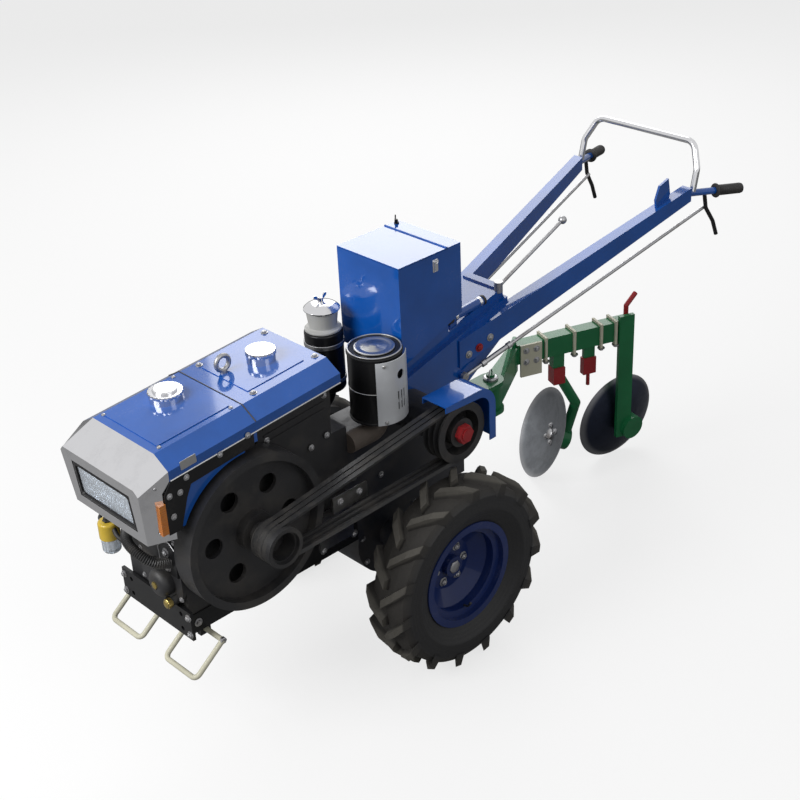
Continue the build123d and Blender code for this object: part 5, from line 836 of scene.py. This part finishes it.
lid = Shape()
lid.lathe((SILENCER_X, SILENCER_Y, 1026.3), TOP, SILENCER_LID, 48)
for z in (1004, 818):
    x = SILENCER_X + SHIELD_RADIUS * SHIELD_FACING[0]
    lid.screw((x, SILENCER_Y + SHIELD_RADIUS * SHIELD_FACING[1], z), SHIELD_FACING, 6)
for z, ring_radius, wire_radius in SILENCER_RINGS:
    wire = full_circle((SILENCER_X, SILENCER_Y, z), FORWARD, LEFT, ring_radius, 64)
    lid.tube(wire, wire_radius, 8, loop=True)
lid.make("silencer_lid", dull_plating)
low, high = node_box("pre_cleaner")
cap_x, cap_y = (low[:2] + high[:2]) / 2
dust_bowl = Shape()
dust_bowl.lathe((cap_x, cap_y, low[2]), TOP, DUST_BOWL, 64)
dust_bowl.make("dust_bowl", bowl_metal)
dust_lid = Shape()
dust_lid.lathe((cap_x, cap_y, low[2]), TOP, DUST_LID, 64)
lid_piece = dust_lid.make("dust_lid", chrome)
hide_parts("pre_cleaner")
wing = Shape()
wing.lathe((cap_x, cap_y, high[2] - 1), TOP, WING_POST, 20)
leaves(wing, WING_LEAF, (cap_x, cap_y - 2.2, high[2] + 3), FORWARD, 4.4)
wing.make("wing_nut", chrome)
band = Shape()
for z in (830, 952):
    band.lathe((cap_x, cap_y, z), TOP, CLEANER_BAND, 48)
band.lathe((cap_x + 56, cap_y - 20, 837), LEFT, [(7, 0), (7, 40)], 12)
band.make("cleaner_bands", steel)

# Toolbox
LATCH_X = -178
BOX_NUT_POST = ((8, 0), (8, 4), (5, 5), (5, 12), (3, 14))
BOX_NUT_LEAF = ((3, 1), (10, 3), (20, 10), (21, 17), (15, 18), (8, 11), (3, 10))

latch = Shape()
latch.prism(rounded(11, 20, 3), (LATCH_X, 140.8, 1207), BACKWARD, TOP, 2.4, 0.6)
latch.prism(rounded(7, 17, 3), (LATCH_X, 143, 1206), BACKWARD, TOP, 4.4, 1.2)
latch.tube(full_circle((LATCH_X, 147, 1222), FORWARD, TOP, 7, 20), 1.8, 8, loop=True)
latch.make("box_latch", chrome)
key = Shape()
key.lathe((-266, -112, 1246), TOP, BOX_NUT_POST, 16)
leaves(key, BOX_NUT_LEAF, (-266, -114, 1249), (0.7, 0.7, 0), 4)
key.make("box_wing_nut", black_paint)

# Handle frame and arms
CONSOLE_Y = 70
CONSOLE_FRONT_X, CONSOLE_FRONT_Z, CONSOLE_REAR_X, CONSOLE_REAR_Z = -285, 962, -455, 974
CONSOLE_FRONT_CAP = ((16.5, -24), (17.5, -22), (17.5, -2), (16, 0.5), (9, 3), (6, 3))
CONSOLE_REAR_CAP = ((16, -8), (17, -7), (17, 1), (14, 3))
CONSOLE_BAND = ((15.3, 0), (16.6, 1), (16.6, 11), (15.3, 12))
ARM_START_X, ARM_START_Y, ARM_LENGTH, ARM_SPREAD = -310, 104, 980, 153
ARM_FACING = 0.15

console = Shape()
console.lathe((CONSOLE_FRONT_X, CONSOLE_Y, CONSOLE_FRONT_Z), (1, 0, -0.07), CONSOLE_FRONT_CAP, 28)
console.lathe((CONSOLE_REAR_X, CONSOLE_Y, CONSOLE_REAR_Z), (-1, 0, 0.07), CONSOLE_REAR_CAP, 28)
console.make("console_tube_caps", grip_rubber)
bands = Shape()
for x in (-318, -430):
    share = (x - CONSOLE_FRONT_X) / (CONSOLE_REAR_X - CONSOLE_FRONT_X)
    z = CONSOLE_FRONT_Z + share * (CONSOLE_REAR_Z - CONSOLE_FRONT_Z)
    bands.lathe((x, CONSOLE_Y, z), (-1, 0, 0.07), CONSOLE_BAND, 28)
bands.make("console_tube_bands", chrome)
arm_bolts = Shape()
for x, z in ((-345, 835), (-430, 868)):
    y = ARM_START_Y + ARM_SPREAD * (ARM_START_X - x) / ARM_LENGTH
    for side in BOTH:
        arm_bolts.bolt((x, side * y, z), (ARM_FACING, side, 0), 18)
arm_bolts.make("arm_bolts", steel)
red_bolts = Shape()
for side in BOTH:
    red_bolts.bolt((-386, side * 116, 846), (ARM_FACING, side, 0), 20)
red_bolts.make("red_arm_bolts", red_paint)

# Grips and pull rods
GRIP_TIP, GRIP_ROOT = (-1505.0, 308.0, 1098.0), (-1290.0, 238.0, 1124.0)
GRIP_RIBS, GRIP_PITCH = 12, 8
GRIP_GROOVE, GRIP_RIB = 17.2, 18.4
GRIP_FLANGE = [(24, 104), (25, 107), (24, 110), (14, 112)]
ROD_LOW, ROD_HIGH = (-320.0, 114.0, 768.0), (-1370.8, 252.9, 1053.7)
TURNBUCKLE_START = 70
TURNBUCKLE = ((7, 0), (11, 2), (11, 18), (8.5, 20), (8.5, 110), (11, 112), (11, 128), (7, 130))

grip_profile = [(GRIP_GROOVE, 3)]
for along in range(0, GRIP_RIBS * GRIP_PITCH, GRIP_PITCH):
    grip_profile += [
        (GRIP_RIB, along + 6), (GRIP_RIB, along + 9.5),
        (GRIP_GROOVE, along + 10.5), (GRIP_GROOVE, along + 13),
    ]
grip_profile += GRIP_FLANGE
turnbuckle = Shape()
for side, end in ((1, "left"), (-1, "right")):
    mirror = np.array((1, side, 1))
    sleeve = Shape()
    sleeve.lathe(GRIP_TIP * mirror, (np.array(GRIP_ROOT) - GRIP_TIP) * mirror, grip_profile, 28)
    sleeve.make("grip_sleeve_" + end, grip_rubber)
    run = unit((np.array(ROD_HIGH) - ROD_LOW) * mirror)
    turnbuckle.lathe(ROD_LOW * mirror + run * TURNBUCKLE_START, run, TURNBUCKLE, 12)
turnbuckle.make("rod_turnbuckles", steel)

# Plough
BEAM_YAW = np.radians(21.0)
ALONG = np.array((-np.cos(BEAM_YAW), np.sin(BEAM_YAW), 0.0))
ACROSS = np.array((np.sin(BEAM_YAW), np.cos(BEAM_YAW), 0.0))
BEAM_START = np.array((-820.0, -125.0, 0.0))
CLAMP_REACHES, CLAMP_HALF_SPAN, CLAMP_FOOT_Z = (110, 225, 335, 395), 29.5, 528
JOINT_BOLTS, JOINT_FACE = ((30, 590), (70, 590), (30, 545), (70, 545)), 33
HITCH_X = -560

nuts = Shape()
nuts.bolts([
    BEAM_START + reach * ALONG + side * CLAMP_HALF_SPAN * ACROSS + (0, 0, CLAMP_FOOT_Z)
    for reach in CLAMP_REACHES for side in BOTH
], DOWN, 19)
nuts.bolts([
    BEAM_START + reach * ALONG + JOINT_FACE * ACROSS + (0, 0, z) for reach, z in JOINT_BOLTS
], ACROSS, 17)
nuts.lathe((HITCH_X, 0, 619.5), TOP, [(26, 0), (26, 7), (22, 11), (10, 13)], 28)
nuts.lathe((HITCH_X, 0, 500.5), DOWN, [(22, 0), (22, 12), (18, 14)], 6)
nuts.tube(full_circle((HITCH_X, 0, 640), (0.9, 0.4, 0), TOP, 15, 24), 2.4, 8, loop=True)
nuts.make("plough_nuts", steel)

# Plough discs: height of the middle above the ground when upright, and places along the disc's own axis
DISC_RADIUS, HUB_BACK = 174.0, 40.0
DISC_BOLT_RADIUS, DISC_BOLT_SEAT, DISC_BOLT_ANGLES = 34, 3.4, (45, 135, 225, 315)
HUB_CAP = ((20, 0), (20, 9), (15, 13), (6, 15))


def disc_fixings(name, x, y, yaw, tilt, material):
    """Four nuts and a middle cap on a disc's hollow side.

    The axis is (cos e*cos a, cos e*sin a, sin e), with the yaw a and the tilt e.
    """
    a, e = np.radians((yaw, tilt))
    out = np.array((np.cos(e) * np.cos(a), np.cos(e) * np.sin(a), np.sin(e)))
    middle = np.array((x, y, DISC_RADIUS * np.cos(e))) - HUB_BACK * out
    u = unit(np.cross(out, TOP))
    v = np.cross(out, u)
    t = np.radians(DISC_BOLT_ANGLES)[:, None]
    fixings = Shape()
    fixings.bolts(
        middle + DISC_BOLT_RADIUS * (np.cos(t) * u + np.sin(t) * v) + DISC_BOLT_SEAT * out, out, 16,
    )
    fixings.lathe(middle, out, HUB_CAP, 28)
    fixings.make("fixings_" + name, material, name)


disc_fixings("disc_front", -1000, -150, -30, 24, steel)
disc_fixings("disc_rear", -1262, -12, -100, 5, green_paint)

# Wheels and stand
WHEEL_NUT_RADIUS, WHEEL_NUT_Y, WHEEL_CAP_Y = 60, 341, 362.5
WHEEL_CAP = ((22, 0), (22, 4), (18, 6), (8, 7))
VALVE_PATH = ((0, 400, 192), (0, 416, 196), (0, 424, 206))
VALVE_CAP = ((4.6, 0), (4.6, 9), (3, 11))
STAND_PIVOT, STAND_NUT = (770, 204, 400), ((11, -2), (11, 6), (9, 8))

for side, name in ((1, "wheel_left"), (-1, "wheel_right")):
    wheel = Shape()
    wheel.bolts([
        (x, side * WHEEL_NUT_Y, z) for x, z in bolt_circle(0, AXLE_Z, WHEEL_NUT_RADIUS, np.arange(0, 360, 60))
    ], (0, side, 0), 21)
    wheel.lathe((0, side * WHEEL_CAP_Y, AXLE_Z), (0, side, 0), WHEEL_CAP, 6)
    wheel.make("nuts_" + name, steel, name)
    valve = Shape()
    path = [(x, side * y, z) for x, y, z in VALVE_PATH]
    valve.tube(smooth_path(path, 12), 3.4, 10)
    valve.lathe(path[-1], (0, side * 0.5, 0.86), VALVE_CAP, 12)
    valve.make("valve_" + name, grip_rubber, name)
stand_ends = Shape()
for side in BOTH:
    stand_ends.lathe((STAND_PIVOT[0], side * STAND_PIVOT[1], STAND_PIVOT[2]), (0, side, 0), STAND_NUT, 6)
stand_ends.make("stand_end_nuts", steel, "front_stand")

# Camera
camera_data = bpy.data.cameras.new("camera")
camera_data.sensor_width = SENSOR_MM
camera_data.lens = LENS_MM
camera_data.shift_x = SHIFT_X
camera_data.shift_y = SHIFT_Y
camera_data.clip_end = FARTHEST
camera = bpy.data.objects.new("camera", camera_data)
bpy.context.collection.objects.link(camera)
turn = Matrix((CAMERA_RIGHT, CAMERA_UP, CAMERA_BACK)).transposed().to_4x4()
camera.matrix_world = Matrix.Translation(Vector(CAMERA_PLACE)) @ turn
bpy.context.scene.camera = camera
bpy.context.scene.view_settings.view_transform = "Standard"

# Floor and light; a lamp has its place, the point it is turned to, its side in metres and its share of power
FLOOR_SIZE = 30.0
FLOOR_GREY = (0.24, 0.24, 0.24)
FLOOR_GLOW, FLOOR_GLOW_IN_GLOSS = 0.74, 0.06
WHITE = (1.0, 1.0, 1.0)
BACKDROP_WHITE, SKY_LIGHT = 1.0, 0.4
LAMP_POWER = 150.0
LAMPS = {
    "key_lamp": ((4.4, -0.8, 3.6), (0, 0, 0.5), 2.6, 1.3),
    "side_lamp": ((0.5, 4.5, 4.0), (0, 0, 0.5), 2.4, 0.2),
    "back_lamp": ((-3.4, -3.7, 3.9), (0, 0, 0.9), 3.6, 0.9),
}


def make_floor():
    """A large flat square: four corners at z = 0, half the floor's size from the origin."""
    side = FLOOR_SIZE / 2
    corners = [(-side, -side, 0), (side, -side, 0), (side, side, 0), (-side, side, 0)]
    mesh = bpy.data.meshes.new("floor")
    mesh.from_pydata(corners, [], [(0, 1, 2, 3)])
    plane = bpy.data.objects.new("floor", mesh)
    bpy.context.collection.objects.link(plane)
    f = Finish("pale_floor")
    sight = f.node("ShaderNodeLightPath", {}, {}, "Is Camera Ray")
    gloss = f.node("ShaderNodeLightPath", {}, {}, "Is Glossy Ray")
    f.set(
        Base_Color=tone(FLOOR_GREY), Roughness=0.95, Specular_IOR_Level=0.0,
        Emission_Color=tone(WHITE), Emission_Strength=sight * FLOOR_GLOW + gloss * FLOOR_GLOW_IN_GLOSS,
    )
    mesh.materials.append(f.material)


def soft_lamp(name, place, aim, size, share):
    """A square area lamp turned towards a point."""
    lamp = bpy.data.lights.new(name, "AREA")
    lamp.shape = "SQUARE"
    lamp.size = size
    lamp.energy = LAMP_POWER * share
    holder = bpy.data.objects.new(name, lamp)
    bpy.context.collection.objects.link(holder)
    place = Vector(place)
    facing = (place - Vector(aim)).to_track_quat("Z", "Y").to_matrix().to_4x4()
    holder.matrix_world = Matrix.Translation(place) @ facing


def set_world():
    """White for the camera and in reflections, a soft even grey for light."""
    world = bpy.data.worlds.new("studio")
    bpy.context.scene.world = world
    world.use_nodes = True
    tree = world.node_tree
    tree.nodes.clear()
    sky = tree.nodes.new("ShaderNodeBackground")
    sight = tree.nodes.new("ShaderNodeLightPath")
    strength = tree.nodes.new("ShaderNodeMapRange")
    strength.inputs["To Min"].default_value = SKY_LIGHT
    strength.inputs["To Max"].default_value = BACKDROP_WHITE
    both = tree.nodes.new("ShaderNodeMath")
    both.operation = "MAXIMUM"
    end = tree.nodes.new("ShaderNodeOutputWorld")
    tree.links.new(sight.outputs["Is Camera Ray"], both.inputs[0])
    tree.links.new(sight.outputs["Is Glossy Ray"], both.inputs[1])
    tree.links.new(both.outputs[0], strength.inputs["Value"])
    tree.links.new(strength.outputs[0], sky.inputs["Strength"])
    tree.links.new(sky.outputs[0], end.inputs["Surface"])


make_floor()
set_world()
for lamp_name, lamp_values in LAMPS.items():
    soft_lamp(lamp_name, *lamp_values)
